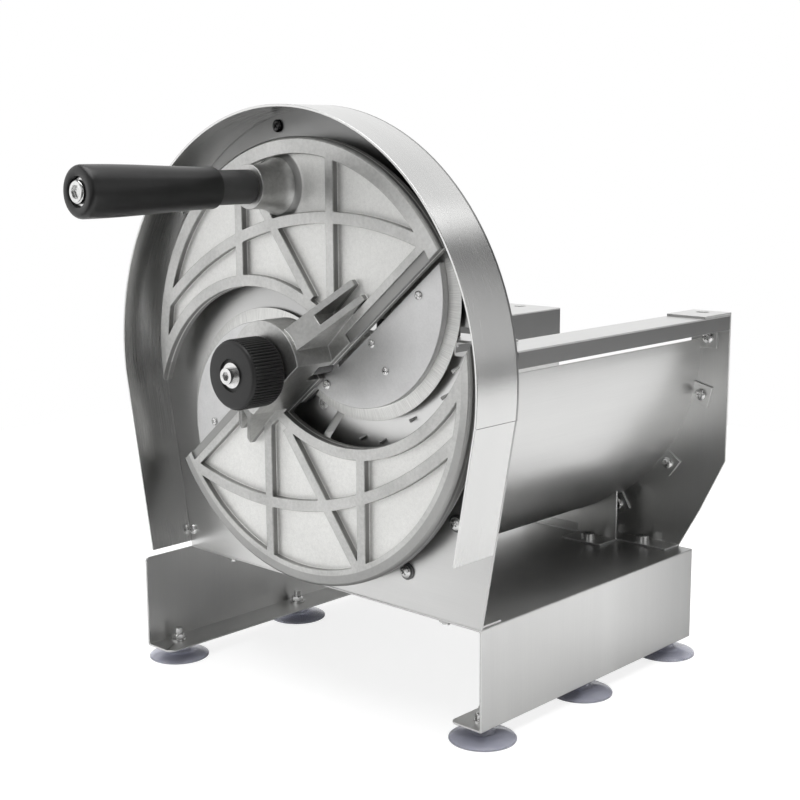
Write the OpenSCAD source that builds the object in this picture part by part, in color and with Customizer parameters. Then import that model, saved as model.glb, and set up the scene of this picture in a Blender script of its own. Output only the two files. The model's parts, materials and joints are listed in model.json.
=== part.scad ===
// Hand-cranked rotary slicer on six suction cups.
// X runs along the front panel, Y from front to rear, Z up from the bench.
// The hub axis lies at X zero, and the origin is on the bench below the middle of the whole object.

/* [Sheet metal] */
// Thickness of the bent sheets
sheet = 1.5; // [1.2:0.1:2]
// Inside clearance between parts that slide on the rails
slide_gap = 0.8; // [0.5:0.1:1.2]

/* [Base] */
// Half width of the base
base_half = 129; // [125:1:135]
// Depth of the base behind the panel's front face
base_depth = 222.5; // [205:0.5:240]
// Height of the base's top face above the bench
base_top = 70.5; // [60:0.5:85]
// Height of the foot flange's underside above the bench
flange_z = 9; // [8.5:0.5:12]
// Width of the inward foot flanges
flange_w = 24; // [22:1:30]
// Reach of the left skirt in front of the panel
skirt_reach = 40; // [30:1:50]

/* [Panel and band] */
// Height of the trough's lowest line above the base's top
trough_lift = 10; // [8:0.5:20]
// How much wider the panel's round top is than the trough, on the radius
panel_margin = 23; // [21:0.5:26]
// Depth of the guard band in front of the panel
band_d = 33.3; // [28:0.1:38]
// Height of the band's left end above the base's top
band_left_gap = 3.5; // [2:0.5:20]
// Height of the band's right end above the base's top
band_right_gap = 45.5; // [30:0.5:60]

/* [Trough and rails] */
// Inner radius of the trough
trough_r = 130; // [126:0.5:132]
// Place of the trough's upright wall below the hub
wall_low_x = 4; // [3:0.5:8]
// Place of the trough's upright wall beside the hub
wall_x = 16; // [15.5:0.5:18]
// Height of the mouth's top edge above the hub
mouth_rise = 30.5; // [25:0.5:35]
// Height of the near rail's top above the hub
near_rise = 20.5; // [18:0.5:24]
// Height of the near rail's side
near_side = 10; // [8:0.5:14]
// Height of the far rail's top above the hub
far_rise = 15.5; // [12:0.5:18]
// Height of the far rail's side
far_side = 20; // [16:0.5:24]
// Radius of the hole in each rail's rear end
rail_hole_r = 4.25; // [3:0.25:5]

/* [Disc] */
// Outer radius of the thickness disc
disc_r = 135; // [130:0.5:138]
// Width of the disc's outer ring
ring_w = 10; // [7:0.5:14]
// Distance from the panel's front face to the ring's front face
disc_front = 17.2; // [16.5:0.1:20]
// Thickness of the disc at its ring and ribs
disc_t = 8; // [7:0.2:9]
// Depth of the pockets in the disc's front
pocket_d = 4; // [2:0.2:5]
// Direction of the slot edges, in degrees above the X axis
slot_dir = 39.7; // [38:0.1:42]
// Half width of the web across the hub
web_half = 14.8; // [14:0.1:16]
// Radius of the hub boss
boss_r = 29.5; // [27:0.5:31]
// Distance from the panel's front face to the hub boss's front
boss_front = 44.5; // [42:0.1:46]
// How far the disc can move forward, the thickest slice
thick_travel = 9; // [5:1:10]

/* [Blades] */
// Radius of the blades' cutting edge
blade_r = 76.5; // [75:0.1:78]
// Thickness of the blades
blade_t = 2; // [1.5:0.1:2.5]
// Radius of the blade carrier's pads
pad_r = 68.5; // [67:0.1:70]
// Thickness of the blade carrier
pad_t = 4.5; // [4:0.1:5]

/* [Spindle] */
// Radius of the spindle
spindle_r = 8; // [7:0.25:8.5]
// Running clearance of the turning fits, on the radius
run_gap = 0.05; // [0.03:0.01:0.08]
// Length of the bearing tube behind the panel
tube_l = 60; // [50:1:80]

/* [Crank and knob] */
// Distance of the crank handle from the hub axis
crank_r = 107.5; // [104:0.5:108]
// Direction of the crank handle from the hub, in degrees
crank_dir = 99.6; // [96:0.1:102]
// Length of the grip
grip_l = 91.2; // [80:0.1:120]
// Radius of the grip at its free end
grip_r = 14.4; // [13:0.1:16]
// Length of the sleeve behind the grip
sleeve_l = 27.2; // [25:0.1:36]
// Radius of the knob
knob_r = 20.7; // [18:0.1:22]
// Length of the knob
knob_l = 24.7; // [23:0.1:30]

/* [Pusher] */
// How far the pusher can move back
push_travel = 150; // [120:5:155]
// Distance from the panel's front face back to the pusher's face
push_y = 3; // [2.6:0.1:5]

/* [Suction cups] */
// Radius of the cups
cup_r = 20; // [18:0.5:21]
// Distance of the cups' middles from the base's sides
cup_in = 9.5; // [9:0.5:11]

/* [Hidden] */
$fn = 96;

// One overrun serves all cuts
cut = 1;
// Clearance of a screw or pin in its hole, on the radius
hole_gap = 0.15;
// Air between a moving face and its neighbour
air = 0.4;

// Heights and radii that follow the trough
hub_rise = trough_r + trough_lift;
panel_r = trough_r + panel_margin;
hub_z = base_top + hub_rise;
near_top = hub_z + near_rise;
far_top = hub_z + far_rise;

// Screw sizes: shank radius, head radius and head height
m4_r = 2;
m4_head_r = 3.9;
m4_head_h = 2.6;
m5_r = 2.5;
m5_head_r = 4.6;
m5_head_h = 3.6;
nut_r = 4.1;
nut_h = 3.2;
washer_t = 1;
flat_head_r = 3.8;
washer_r = 5.2;
socket_r = 1.5;
crown_share = 0.72;
hex_share = 0.6;
washer_share = 1.4;
thread_end = 1.4;

// Handle boss on the disc
handle_boss_h = 20.4;
handle_boss_foot = 22.5;
handle_boss_r = 13.2;
handle_flare_h = 18;
sleeve_r = 10;
grip_small_r = 12;
grip_edge = 2.5;
handle_bolt_r = 4;
handle_head_r = 6.4;
handle_thread_l = 10;
handle_washer_r = 7.7;

// Depths, counted from the panel's front face
blade_rear = 2.2;
carrier_rear = blade_rear + blade_t;
carrier_front = carrier_rear + pad_t;
disc_rear = disc_front - disc_t;
knob_rear = boss_front + air;
knob_front = knob_rear + knob_l;
sleeve_front_y = disc_front + handle_boss_h + sleeve_l;
grip_start = sleeve_front_y + air;
grip_end = grip_start + grip_l;
handle_head_h = 3.4;
handle_sunk = 3.8;
handle_seat = grip_end - handle_sunk + washer_t;
front_reach = handle_seat + handle_head_h;
rear_reach = base_depth + nut_h + thread_end;
panel_y = (front_reach - rear_reach) / 2;

// Directions in the disc's plane: along the slot and square to it
slot_c = cos(slot_dir);
slot_s = sin(slot_dir);

// Centres of the round outlines, in the disc's plane
blade_cx = 39.5;
blade_cz = 46;
inner_cx = -38;
inner_cz = -55;
inner_r = 100;
inner_rib_w = 7;
brace_cx = 28;
brace_cz = -138;
brace_r = 230;
brace_w = 7;
slot_gap = 1.5;
slot_rim = 6;
slot_step = 11;
slot_step_d = 1.6;
post_x = 28.5;
post_w = 6.5;
left_post_x = -51.5;
left_post_w = 6.8;
stay_from = [12, 40];
stay_to = [-50, 120];
stay_w = 6.6;
ring_edge = 1.6;

// Arms on the hub
arm_dir = 43.6;
arm_w = 15.5;
arm_from = 20;
arm_high_to = 24;
arm_to = 70;
fork_from = 45;
fork_w = 7;
pin_x = 16.4;
pin_z = 1.6;
pin_r = 5.3;
pin_show = 24;
pin_end = 37;
pin_bite = 2;

// Spindle, bushes and screw
bush_r = 11;
bush_l = 14;
tube_r = 13.5;
flange_t = 3;
flange_r = 34;
flange_right = 13.6;
flange_cut = 24.5;
flange_cut_dir = 45;
spindle_flange_r = 25;
spindle_flange_t = 2.6;
spindle_front = 30;
adjust_r = 5;
adjust_end = 12;
collar_w = 8;
collar_r = 12.5;
thrust_t = 1;
spring_r = 9.8;
spring_wire = 1.4;
spring_turns = 6;
spring_pocket_r = 11.3;
spring_pocket_end = 27;

// Knob details
knurl_n = 60;
knurl_d = 0.55;
knob_core_r = knob_r - 2 * knurl_d;
knob_edge = 2;
knob_recess_r = 9.5;
knob_recess_d = 1.2;
knob_washer_r = 7.4;
knob_bolt_r = 3;
knob_head_r = 4.8;
knob_head_h = 4;
knob_bolt_l = 16;

// Places of screws, in the disc's plane from the hub
blade_screw_at = [[90, 47], [53.5, 17], [64.4, 2]];
carrier_screw_at = [16, -11];
panel_screw_in = 7.9;
panel_screw_edge = 3;
panel_screw_up = 12;
panel_screw_dir = [102.8, 145.1];
panel_screw_at = [(panel_r - panel_screw_in) * [cos(panel_screw_dir[0]), sin(panel_screw_dir[0])],
    [panel_screw_edge - base_half, panel_screw_up - hub_rise],
    (panel_r - 2 * panel_screw_edge) * [cos(panel_screw_dir[1]), sin(panel_screw_dir[1])]];
panel_screw_share = [1, 0.9, 0.75];
tab_hole_out = 7.5;
tab_reach = 14;
tab_r = trough_r + tab_hole_out;
tab_w = 14;
tab_out = trough_r + tab_reach;
tab_rear_dir = [2, -14, -37, -59];
tab_front_dir = [-36, -58];
trough_top_dir = 1.5;
housing_screw_at = [[-18, 18], [-26, -2], [-18, -22], [4, -25]];

// Where the panel's straight sides run into its round top, below the hub
side_from = 16;
side_to = 17;
side_tuck = 0.1;
// Corners of the trough's wall where it passes the bearing tube, below the hub
knee_low = 43.5;
knee_high = 28.5;

// Base bolts, from the panel's front face and the middle
panel_foot_d = 18;
end_foot_d = 17.5;
foot_bolt_side = 34;
foot_bolt_x = base_half - foot_bolt_side;
foot_bolt_in = 9;
near_foot_x = 64;
saddle_w = 32;
saddle_d = 20;
saddle_back = 37.5;
saddle_y = base_depth - saddle_back;
cup_x = base_half - cup_in;
left_cup_in = 19;
left_cup_back = 23.5;
right_cup_back = 16.5;
left_cup_from = left_cup_in - skirt_reach;
left_cup_to = base_depth - left_cup_back;
left_cup_y = [left_cup_from, (left_cup_from + left_cup_to) / 2, left_cup_to];
right_cup_from = 13;
right_cup_to = base_depth - right_cup_back;
right_cup_y = [right_cup_from, (right_cup_from + right_cup_to) / 2, right_cup_to];

// Draws an outline of the panel's plane as a plate from depth y0 back to y0 + t
module plate_y(y0, t) translate([0, y0 + t, 0]) rotate([90, 0, 0]) linear_extrude(t) children();

// A round bar along Y from depth y0 back to y0 + l
module bar_y(y0, l, r) translate([0, y0 + l, 0]) rotate([90, 0, 0]) cylinder(h = l, r = r);

// A cone along Y, radius r0 at depth y0 and r1 at y0 + l
module cone_y(y0, l, r0, r1) translate([0, y0 + l, 0]) rotate([90, 0, 0]) cylinder(h = l, r1 = r1, r2 = r0);

// Puts children in the frame of the panel's front face, on the bench
module at_panel() translate([0, panel_y, 0]) children();

// Puts children in the frame of the panel's front face, on the hub axis
module at_hub() translate([0, panel_y, hub_z]) children();

// Moves children within the panel's plane
module place(p) translate([p[0], 0, p[1]]) children();

// Repeats children on both lobes of the disc
module both_lobes() for (a = [0, 180]) rotate([0, a, 0]) children();

// The half plane beyond a line at offset o from the hub, along the slot direction
module beyond(o, reach) rotate(slot_dir) translate([-reach, -o - reach * 2]) square([reach * 2, reach * 2]);

// The half plane on the hub's side of that line
module short_of(o, reach) rotate(slot_dir) translate([-reach, -o]) square([reach * 2, reach * 2]);

// Hexagonal nut along Y
module nut_y(y0, h, r, bore) difference() {
    translate([0, y0 + h, 0]) rotate([90, 0, 0]) cylinder(h = h, r = r, $fn = 6);
    bar_y(y0 - cut, h + 2 * cut, bore);
}

// Pan head screw along Y: its head stands in front of depth y0, and its shank runs back by l
module pan_screw_y(y0, l, r, head_r, head_h) difference() {
    union() {
        bar_y(y0 - head_h / 2, head_h / 2, head_r);
        cone_y(y0 - head_h, head_h / 2, head_r * crown_share, head_r);
        bar_y(y0 - head_h / 4, l + head_h / 4, r);
    }
    for (a = [0, 90]) rotate([0, a, 0])
        translate([-head_r / 2, y0 - head_h - cut, -head_r / 8])
            cube([head_r, cut + head_h / 3, head_r / 4]);
}

// The same screw pointing down: its head stands on height z0
module pan_screw_z(z0, l, r, head_r, head_h) difference() {
    union() {
        translate([0, 0, z0]) cylinder(h = head_h, r = head_r);
        translate([0, 0, z0 - l]) cylinder(h = l + head_h / 2, r = r);
    }
    translate([0, 0, z0 + head_h / 2]) cylinder(h = head_h, r = head_r / 2, $fn = 6);
}

// How far out the panel's straight side stands at a height z from the hub, drawn in by an inset
function side_at(z, inset) =
    let (top = sqrt(pow(panel_r, 2) - pow(side_from, 2)) - side_tuck,
        share = (z + side_from) / (side_from - hub_rise))
    top + (base_half - top) * share - inset;

// Outline of the panel in its plane: a round top on straight sides
module panel_outline() {
    difference() {
        circle(r = panel_r, $fn = 180);
        translate([-2 * panel_r, -4 * panel_r - side_to]) square(4 * panel_r);
    }
    polygon([[side_at(-side_from, 0), -side_from], [base_half, -hub_rise],
        [-base_half, -hub_rise], [-side_at(-side_from, 0), -side_from]]);
}

// Cross-section of the space inside the trough, drawn in by an inset
module chute_section(inset, top) {
    low = wall_low_x + inset;
    high = wall_x + inset;
    intersection() {
        circle(r = trough_r - inset, $fn = 180);
        polygon([[low, -trough_r], [trough_r, -trough_r], [trough_r, top], [high, top],
            [high, -knee_high - inset], [low, -knee_low - inset]]);
    }
}

// Base: one sheet bent down at both sides and in again at the bottom
foot_corner = 5;
skirt_corner = 2.5;
module base_plate() {
    color("gainsboro") at_panel() difference() {
        union() {
            translate([-base_half, 0, base_top - sheet]) cube([2 * base_half, base_depth, sheet]);
            for (s = [-1, 1]) skirt(s, s < 0 ? skirt_reach : 0);
        }
        for (p = cup_places()) translate([p[0], p[1], flange_z - cut])
            cylinder(h = sheet + 2 * cut, r = m5_r + hole_gap);
        for (p = foot_bolt_places()) translate([p[0], p[1], base_top - sheet - cut])
            cylinder(h = sheet + 2 * cut, r = m5_r + hole_gap);
    }
}

// One skirt with its foot flange; the flange's free corners are round
module skirt(s, reach) {
    h = base_top - flange_z;
    x0 = s < 0 ? -base_half : base_half - sheet;
    difference() {
        translate([x0, -reach, flange_z]) cube([sheet, base_depth + reach, h]);
        if (reach > 0) translate([x0 - cut, -reach, base_top]) rotate([0, 90, 0])
            linear_extrude(sheet + 2 * cut) difference() {
                translate([-cut, -cut]) square([skirt_corner + cut, skirt_corner + cut]);
                translate([skirt_corner, skirt_corner]) circle(r = skirt_corner);
            }
    }
    translate([0, 0, flange_z]) linear_extrude(sheet) mirror([s < 0 ? 1 : 0, 0]) difference() {
        translate([base_half - flange_w, -reach]) square([flange_w, base_depth + reach]);
        for (e = [0, 1]) translate([base_half - flange_w, e == 0 ? -reach : base_depth])
            mirror([0, e]) difference() {
                translate([-cut, -cut]) square(foot_corner + cut);
                translate([foot_corner, foot_corner]) circle(r = foot_corner);
            }
    }
}

// Places of the cups under both flanges
function cup_places() = concat([for (y = left_cup_y) [-cup_x, y]], [for (y = right_cup_y) [cup_x, y]]);

// Places of the bolts through the base's top
function foot_bolt_places() = [for (p = [[-foot_bolt_x, panel_foot_d - foot_bolt_in],
    [foot_bolt_x, panel_foot_d - foot_bolt_in], [foot_bolt_x, base_depth - foot_bolt_in],
    [near_foot_x, base_depth - foot_bolt_in], [near_foot_x, saddle_y + saddle_d / 2 - sheet]]) p];

// Front panel with its mouth, its foot flange behind and the holes it carries
module front_panel() {
    color("silver") at_panel() {
        translate([0, 0, hub_z]) difference() {
            plate_y(0, sheet) difference() {
                panel_outline();
                chute_section(0, mouth_rise);
                circle(r = spindle_r + 3 * air);
            }
            for (i = [0 : 2]) place(panel_screw_at[i])
                bar_y(-cut, sheet + 2 * cut, m4_r * panel_screw_share[i] + hole_gap);
            for (a = tab_front_dir) place(tab_r * [cos(a), sin(a)])
                bar_y(-cut, sheet + 2 * cut, m4_r + hole_gap);
            for (p = housing_screw_at) place(p) {
                bar_y(-cut, sheet + 2 * cut, m4_r + hole_gap);
                bar_y(-cut, cut, flat_head_r + hole_gap);
                cone_y(0, sheet, flat_head_r + hole_gap, m4_r + hole_gap);
            }
        }
        difference() {
            translate([-base_half + sheet, sheet, base_top])
                cube([2 * (base_half - sheet), panel_foot_d, sheet]);
            for (p = foot_bolt_places()) translate([p[0], p[1], base_top - cut])
                cylinder(h = sheet + 2 * cut, r = m5_r + hole_gap);
        }
    }
}

// Guard band: a strip on edge round the panel, open at the bottom
module guard_band() {
    color("lightgray") at_hub() {
        plate_y(-band_d, band_d) difference() {
            circle(r = panel_r, $fn = 180);
            circle(r = panel_r - sheet, $fn = 180);
            translate([-2 * panel_r, -4 * panel_r - side_to]) square(4 * panel_r);
        }
        band_leg(-1, band_left_gap - hub_rise);
        band_leg(1, band_right_gap - hub_rise);
    }
}

// One straight leg of the band, down to a height from the hub
module band_leg(s, low) plate_y(-band_d, band_d)
    polygon([for (p = [[-side_from, 0], [low, 0], [low, sheet], [-side_from, sheet]])
        [s * side_at(p[0], p[1]), p[0]]]);

// Trough: quarter-round sheet between panel and end plate, with outward tabs at both ends
module trough() {
    l = base_depth - 2 * sheet;
    color("lightgray") at_hub() {
        plate_y(sheet, l) difference() {
            trough_skin();
            chute_section(0, panel_r);
        }
        for (a = tab_front_dir) tab(a, sheet);
        for (a = tab_rear_dir) tab(a, base_depth - 2 * sheet);
    }
}

// Outer outline of the trough's sheet, cut level at its two top edges
module trough_skin() intersection() {
    out = trough_r + sheet;
    rim = trough_r * sin(trough_top_dir);
    circle(r = out, $fn = 180);
    polygon([[wall_low_x - sheet, -out], [out, -out], [out, rim], [trough_r / 2, rim],
        [trough_r / 2, far_rise - sheet], [wall_x - sheet, far_rise - sheet],
        [wall_x - sheet, -knee_high + sheet / 4], [wall_low_x - sheet, -knee_low + sheet / 4]]);
}

// One outward tab of the trough, its front face at depth y0
module tab(a, y0) difference() {
    plate_y(y0, sheet) intersection() {
        rotate(a) translate([0, -tab_w / 2]) square([tab_out, tab_w]);
        difference() {
            circle(r = tab_out);
            circle(r = trough_r, $fn = 180);
        }
    }
    place(tab_r * [cos(a), sin(a)]) bar_y(y0 - cut, sheet + 2 * cut, m4_r + hole_gap);
}

// Saddle: a bent foot that carries the trough near its rear end
module trough_saddle() {
    y1 = saddle_y + saddle_d;
    color("silver") at_panel() difference() {
        union() {
            translate([near_foot_x - saddle_w / 2, saddle_y, base_top]) cube([saddle_w, saddle_d, sheet]);
            translate([0, 0, hub_z]) plate_y(y1 - sheet, sheet) difference() {
                translate([near_foot_x - saddle_w / 2, -hub_rise]) square([saddle_w, hub_rise]);
                circle(r = trough_r + sheet, $fn = 180);
                translate([0, -hub_rise / 2]) square([panel_r, hub_rise]);
            }
        }
        for (p = foot_bolt_places()) translate([p[0], p[1], base_top - cut])
            cylinder(h = sheet + 2 * cut, r = m5_r + hole_gap);
    }
}

// End plate round the trough's open rear, with a foot flange and a tab over the near rail
end_over = 22;
end_knee_up = 64;
end_low_out = 4;
end_low_up = 27.5;
end_foot_in = 11.5;
end_right = trough_r + end_over;
end_knee_z = hub_rise - end_knee_up;
end_low_x = trough_r + end_low_out;
end_low_z = hub_rise - end_low_up;
end_foot_x = trough_r - end_foot_in;
end_left = 28;
end_tab_d = 32;
end_rail_w = 28;
end_rib_x = -10;
module end_plate() {
    color("silver") at_panel() {
        difference() {
            union() {
                translate([0, 0, hub_z]) plate_y(base_depth - sheet, sheet) difference() {
                    polygon([[end_right, near_rise + sheet], [end_right, -end_knee_z],
                        [end_low_x, -end_low_z], [end_foot_x, -hub_rise],
                        [end_rib_x, -hub_rise], [-end_left, -end_knee_z], [-end_left, far_rise],
                        [wall_x, far_rise], [wall_x, near_rise + sheet]]);
                    chute_section(0, 0);
                    translate([wall_x, -cut]) square([end_right - end_rail_w - wall_x, near_rise + sheet + 2 * cut]);
                }
                translate([end_rib_x, base_depth - end_foot_d, base_top])
                    cube([end_foot_x - end_rib_x, end_foot_d, sheet]);
                translate([end_right - end_rail_w, base_depth - end_tab_d, near_top])
                    cube([end_rail_w, end_tab_d, sheet]);
            }
            for (a = tab_rear_dir) translate([0, 0, hub_z]) place(tab_r * [cos(a), sin(a)])
                bar_y(base_depth - sheet - cut, sheet + 2 * cut, m4_r + hole_gap);
            for (p = foot_bolt_places()) translate([p[0], p[1], base_top - cut])
                cylinder(h = sheet + 2 * cut, r = m5_r + hole_gap);
            translate([near_hole_x, rail_hole_y, near_top - cut])
                cylinder(h = sheet + 2 * cut, r = rail_hole_r);
        }
    }
}
near_hole_in = 15;
near_hole_x = end_right - near_hole_in;
far_hole_x = -12;
rail_hole_in = 10;
rail_hole_y = base_depth - rail_hole_in;

// Near rail: a bent strip, its side outward and its top over the trough's edge
module near_rail() {
    l = base_depth - 2 * sheet;
    color("silver") at_panel() difference() {
        union() {
            translate([end_right - sheet, sheet, near_top - near_side]) cube([sheet, l, near_side]);
            translate([end_right - end_rail_w, sheet, near_top - sheet]) cube([end_rail_w, l, sheet]);
        }
        translate([near_hole_x, rail_hole_y, near_top - sheet - cut])
            cylinder(h = sheet + 2 * cut, r = rail_hole_r);
    }
}

// Far rail: a wider strip over the bearing tube, its side down along the trough's wall
module far_rail() {
    l = base_depth - 2 * sheet;
    color("silver") at_panel() difference() {
        union() {
            translate([wall_x, sheet, far_top - far_side]) cube([sheet, l, far_side]);
            translate([-end_left, sheet + flange_t, far_top - sheet])
                cube([end_left + wall_x + sheet, l - flange_t, sheet]);
        }
        translate([far_hole_x, rail_hole_y, far_top - sheet - cut])
            cylinder(h = sheet + 2 * cut, r = rail_hole_r);
    }
}

// Bearing housing: a tube behind the panel on a flange that stops short of the trough
module bearing_housing() {
    color("gray") at_hub() difference() {
        union() {
            plate_y(sheet, flange_t) intersection() {
                circle(r = flange_r);
                translate([-flange_r - cut, -flange_r]) square([flange_r + cut + flange_right, 2 * flange_r]);
                rotate(-flange_cut_dir) translate([-2 * flange_r, -2 * flange_r])
                    square([2 * flange_r + flange_cut, 4 * flange_r]);
            }
            bar_y(sheet, tube_l, tube_r);
        }
        bar_y(sheet - cut, tube_l + 2 * cut, bush_r);
        for (p = housing_screw_at) place(p) bar_y(sheet - cut, flange_t + 2 * cut, m4_r + hole_gap);
    }
}

// One plain bush in the bearing tube
module bush(y0) color("goldenrod") at_hub() difference() {
    bar_y(y0, bush_l, bush_r);
    bar_y(y0 - cut, bush_l + 2 * cut, spindle_r + run_gap);
}
module front_bush() bush(sheet);
module rear_bush() bush(sheet + tube_l - bush_l);

// Flat-headed screws that hold the bearing housing to the panel
module housing_screws() {
    color("silver") at_hub() for (p = housing_screw_at) place(p) difference() {
        union() {
            cone_y(0, sheet, flat_head_r, m4_r);
            bar_y(sheet / 2, sheet / 2 + flange_t, m4_r);
        }
        translate([0, -cut, 0]) rotate([-90, 0, 0]) cylinder(h = cut + sheet / 2, r = socket_r, $fn = 6);
    }
}

// Suction cups: soft, clear, hollow below, with a neck up to the flange
cup_lip = 0.8;
cup_lip_w = 3;
cup_neck_r = 5.5;
cup_roof = 3.4;
cup_shoulder = 7.2;
roof_share = 0.75;
back_share = 0.7;
stud_in = 5;
stud_out = 8.5;
module suction_cups() {
    color("lightsteelblue") at_panel() for (p = cup_places()) translate([p[0], p[1], 0]) rotate_extrude()
        polygon([[0, cup_roof], [cup_r / 2, cup_roof * roof_share], [cup_r - cup_lip_w, 0], [cup_r, 0],
            [cup_r, cup_lip], [cup_r * back_share, cup_roof + cup_lip], [cup_neck_r + cup_lip, cup_shoulder],
            [cup_neck_r, cup_shoulder + cup_lip], [cup_neck_r, flange_z], [m5_r, flange_z],
            [m5_r, flange_z - stud_in], [0, flange_z - stud_in]]);
}
module cup_studs() {
    color("silver") at_panel() for (p = cup_places()) translate([p[0], p[1], flange_z - stud_in])
        cylinder(h = stud_in + sheet + stud_out, r = m5_r);
}
module cup_washers() {
    color("silver") at_panel() for (p = cup_places()) translate([p[0], p[1], flange_z + sheet])
        difference() {
            cylinder(h = washer_t, r = washer_r);
            translate([0, 0, -cut]) cylinder(h = washer_t + 2 * cut, r = m5_r);
        }
}
module cup_nuts() {
    z = flange_z + sheet + washer_t;
    color("silver") at_panel() for (p = cup_places()) translate([p[0], p[1], z]) difference() {
        cylinder(h = m5_head_h, r = m5_head_r, $fn = 6);
        translate([0, 0, -cut]) cylinder(h = m5_head_h + 2 * cut, r = m5_r);
    }
}

// Screws that show round the panel's edge, with nuts behind
module panel_screws() {
    color("silver") at_hub() for (i = [0 : 2]) place(panel_screw_at[i]) {
        k = panel_screw_share[i];
        pan_screw_y(0, sheet + nut_h + thread_end, m4_r * k, m4_head_r * k, m4_head_h * k);
    }
}
module panel_nuts() {
    color("silver") at_hub() for (i = [0 : 2]) place(panel_screw_at[i]) {
        k = panel_screw_share[i];
        nut_y(sheet, nut_h * k, nut_r * k, m4_r * k);
    }
}

// Screws through the trough's tabs
module trough_front_screws() {
    color("silver") at_hub() for (a = tab_front_dir) place(tab_r * [cos(a), sin(a)])
        pan_screw_y(-washer_t, washer_t + 2 * sheet + nut_h + thread_end, m4_r, m4_head_r, m4_head_h);
}
module trough_front_washers() {
    color("dimgray") at_hub() for (a = tab_front_dir) place(tab_r * [cos(a), sin(a)]) difference() {
        bar_y(-washer_t, washer_t, washer_r);
        bar_y(-washer_t - cut, washer_t + 2 * cut, m4_r);
    }
}
module trough_rear_screws() {
    color("silver") at_hub() for (a = tab_rear_dir) place(tab_r * [cos(a), sin(a)])
        pan_screw_y(base_depth - 2 * sheet, 2 * sheet + nut_h + thread_end, m4_r, m4_head_r, m4_head_h);
}
module trough_nuts() {
    color("silver") at_hub() {
        for (a = tab_front_dir) place(tab_r * [cos(a), sin(a)]) nut_y(2 * sheet, nut_h, nut_r, m4_r);
        for (a = tab_rear_dir) place(tab_r * [cos(a), sin(a)]) nut_y(base_depth, nut_h, nut_r, m4_r);
    }
}

// Bolts through the foot flanges and the base's top
module base_bolts() {
    color("silver") at_panel() for (p = foot_bolt_places()) translate([p[0], p[1], 0])
        pan_screw_z(base_top + sheet, 2 * sheet + nut_h + thread_end, m5_r, m5_head_r, m5_head_h);
}
module base_nuts() {
    color("silver") at_panel() for (p = foot_bolt_places()) translate([p[0], p[1], base_top - sheet - nut_h])
        difference() {
            cylinder(h = nut_h, r = m5_head_r, $fn = 6);
            translate([0, 0, -cut]) cylinder(h = nut_h + 2 * cut, r = m5_r);
        }
}

// Spindle with its flange in front, bored for the adjusting screw
module spindle() {
    l = sheet + tube_l + thrust_t + air + collar_w + thread_end;
    color("gray") at_hub() difference() {
        union() {
            bar_y(-spindle_front, spindle_front + l, spindle_r);
            plate_y(-carrier_rear, spindle_flange_t) hub_round(spindle_flange_r, 0);
        }
        bar_y(-spindle_front - cut, spindle_front - adjust_end + cut, adjust_r + run_gap);
        for (s = [-1, 1]) place(s * carrier_screw_at)
            bar_y(-carrier_rear - cut, spindle_flange_t + 2 * cut, m4_r);
    }
}
module thrust_washer() color("silver") at_hub() difference() {
    bar_y(sheet + tube_l, thrust_t, collar_r);
    bar_y(sheet + tube_l - cut, thrust_t + 2 * cut, spindle_r + run_gap);
}
module spindle_collar() color("dimgray") at_hub() difference() {
    bar_y(sheet + tube_l + thrust_t + air / 4, collar_w, collar_r);
    bar_y(sheet + tube_l, collar_w + thrust_t + 2 * cut, spindle_r);
    translate([0, sheet + tube_l + thrust_t + air / 4 + collar_w / 2, 0])
        cylinder(h = collar_r + cut, r = m4_r);
}
module collar_screw() color("silver") at_hub()
    translate([0, sheet + tube_l + thrust_t + air / 4 + collar_w / 2, 0]) difference() {
        translate([0, 0, spindle_r]) cylinder(h = collar_r - spindle_r - air, r = m4_r);
        translate([0, 0, collar_r - air - socket_r])
            cylinder(h = 2 * socket_r, r = socket_r / washer_share, $fn = 6);
    }

// Outline of one pad of the blade carrier, on the right
module pad() intersection() {
    translate([blade_cx, blade_cz]) circle(r = pad_r, $fn = 180);
    beyond(web_half + slot_gap, disc_r);
}
carrier_hub_r = 26;

// Round about the hub, kept to the web and the pads so that the blades' tips show
module hub_round(r, grow) intersection() {
    circle(r = r + grow);
    union() {
        rotate(slot_dir) square([2 * disc_r, 2 * (web_half + grow)], center = true);
        own_side(grow);
        rotate(180) own_side(grow);
    }
}
module own_side(grow) intersection() {
    translate([blade_cx, blade_cz]) circle(r = pad_r + grow, $fn = 180);
    beyond(0, disc_r);
}
blade_screw_r = 1.6;
blade_head_r = 2.6;
blade_head_h = 1.1;
carrier_head_r = 3;
module blade_carrier() {
    color("darkgray") at_hub() difference() {
        plate_y(-carrier_front, pad_t) {
            pad();
            rotate(180) pad();
            hub_round(carrier_hub_r, 0);
        }
        bar_y(-carrier_front - cut, pad_t + 2 * cut, spindle_r);
        both_lobes() {
            for (p = blade_screw_at) place(p) bar_y(-carrier_front - cut, pad_t + 2 * cut, blade_screw_r);
            place(carrier_screw_at) bar_y(-carrier_front - cut, pad_t + 2 * cut, m4_r);
            place([pin_x, pin_z]) bar_y(-carrier_front - cut, pad_t + 2 * cut, pin_r);
        }
    }
}

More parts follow.
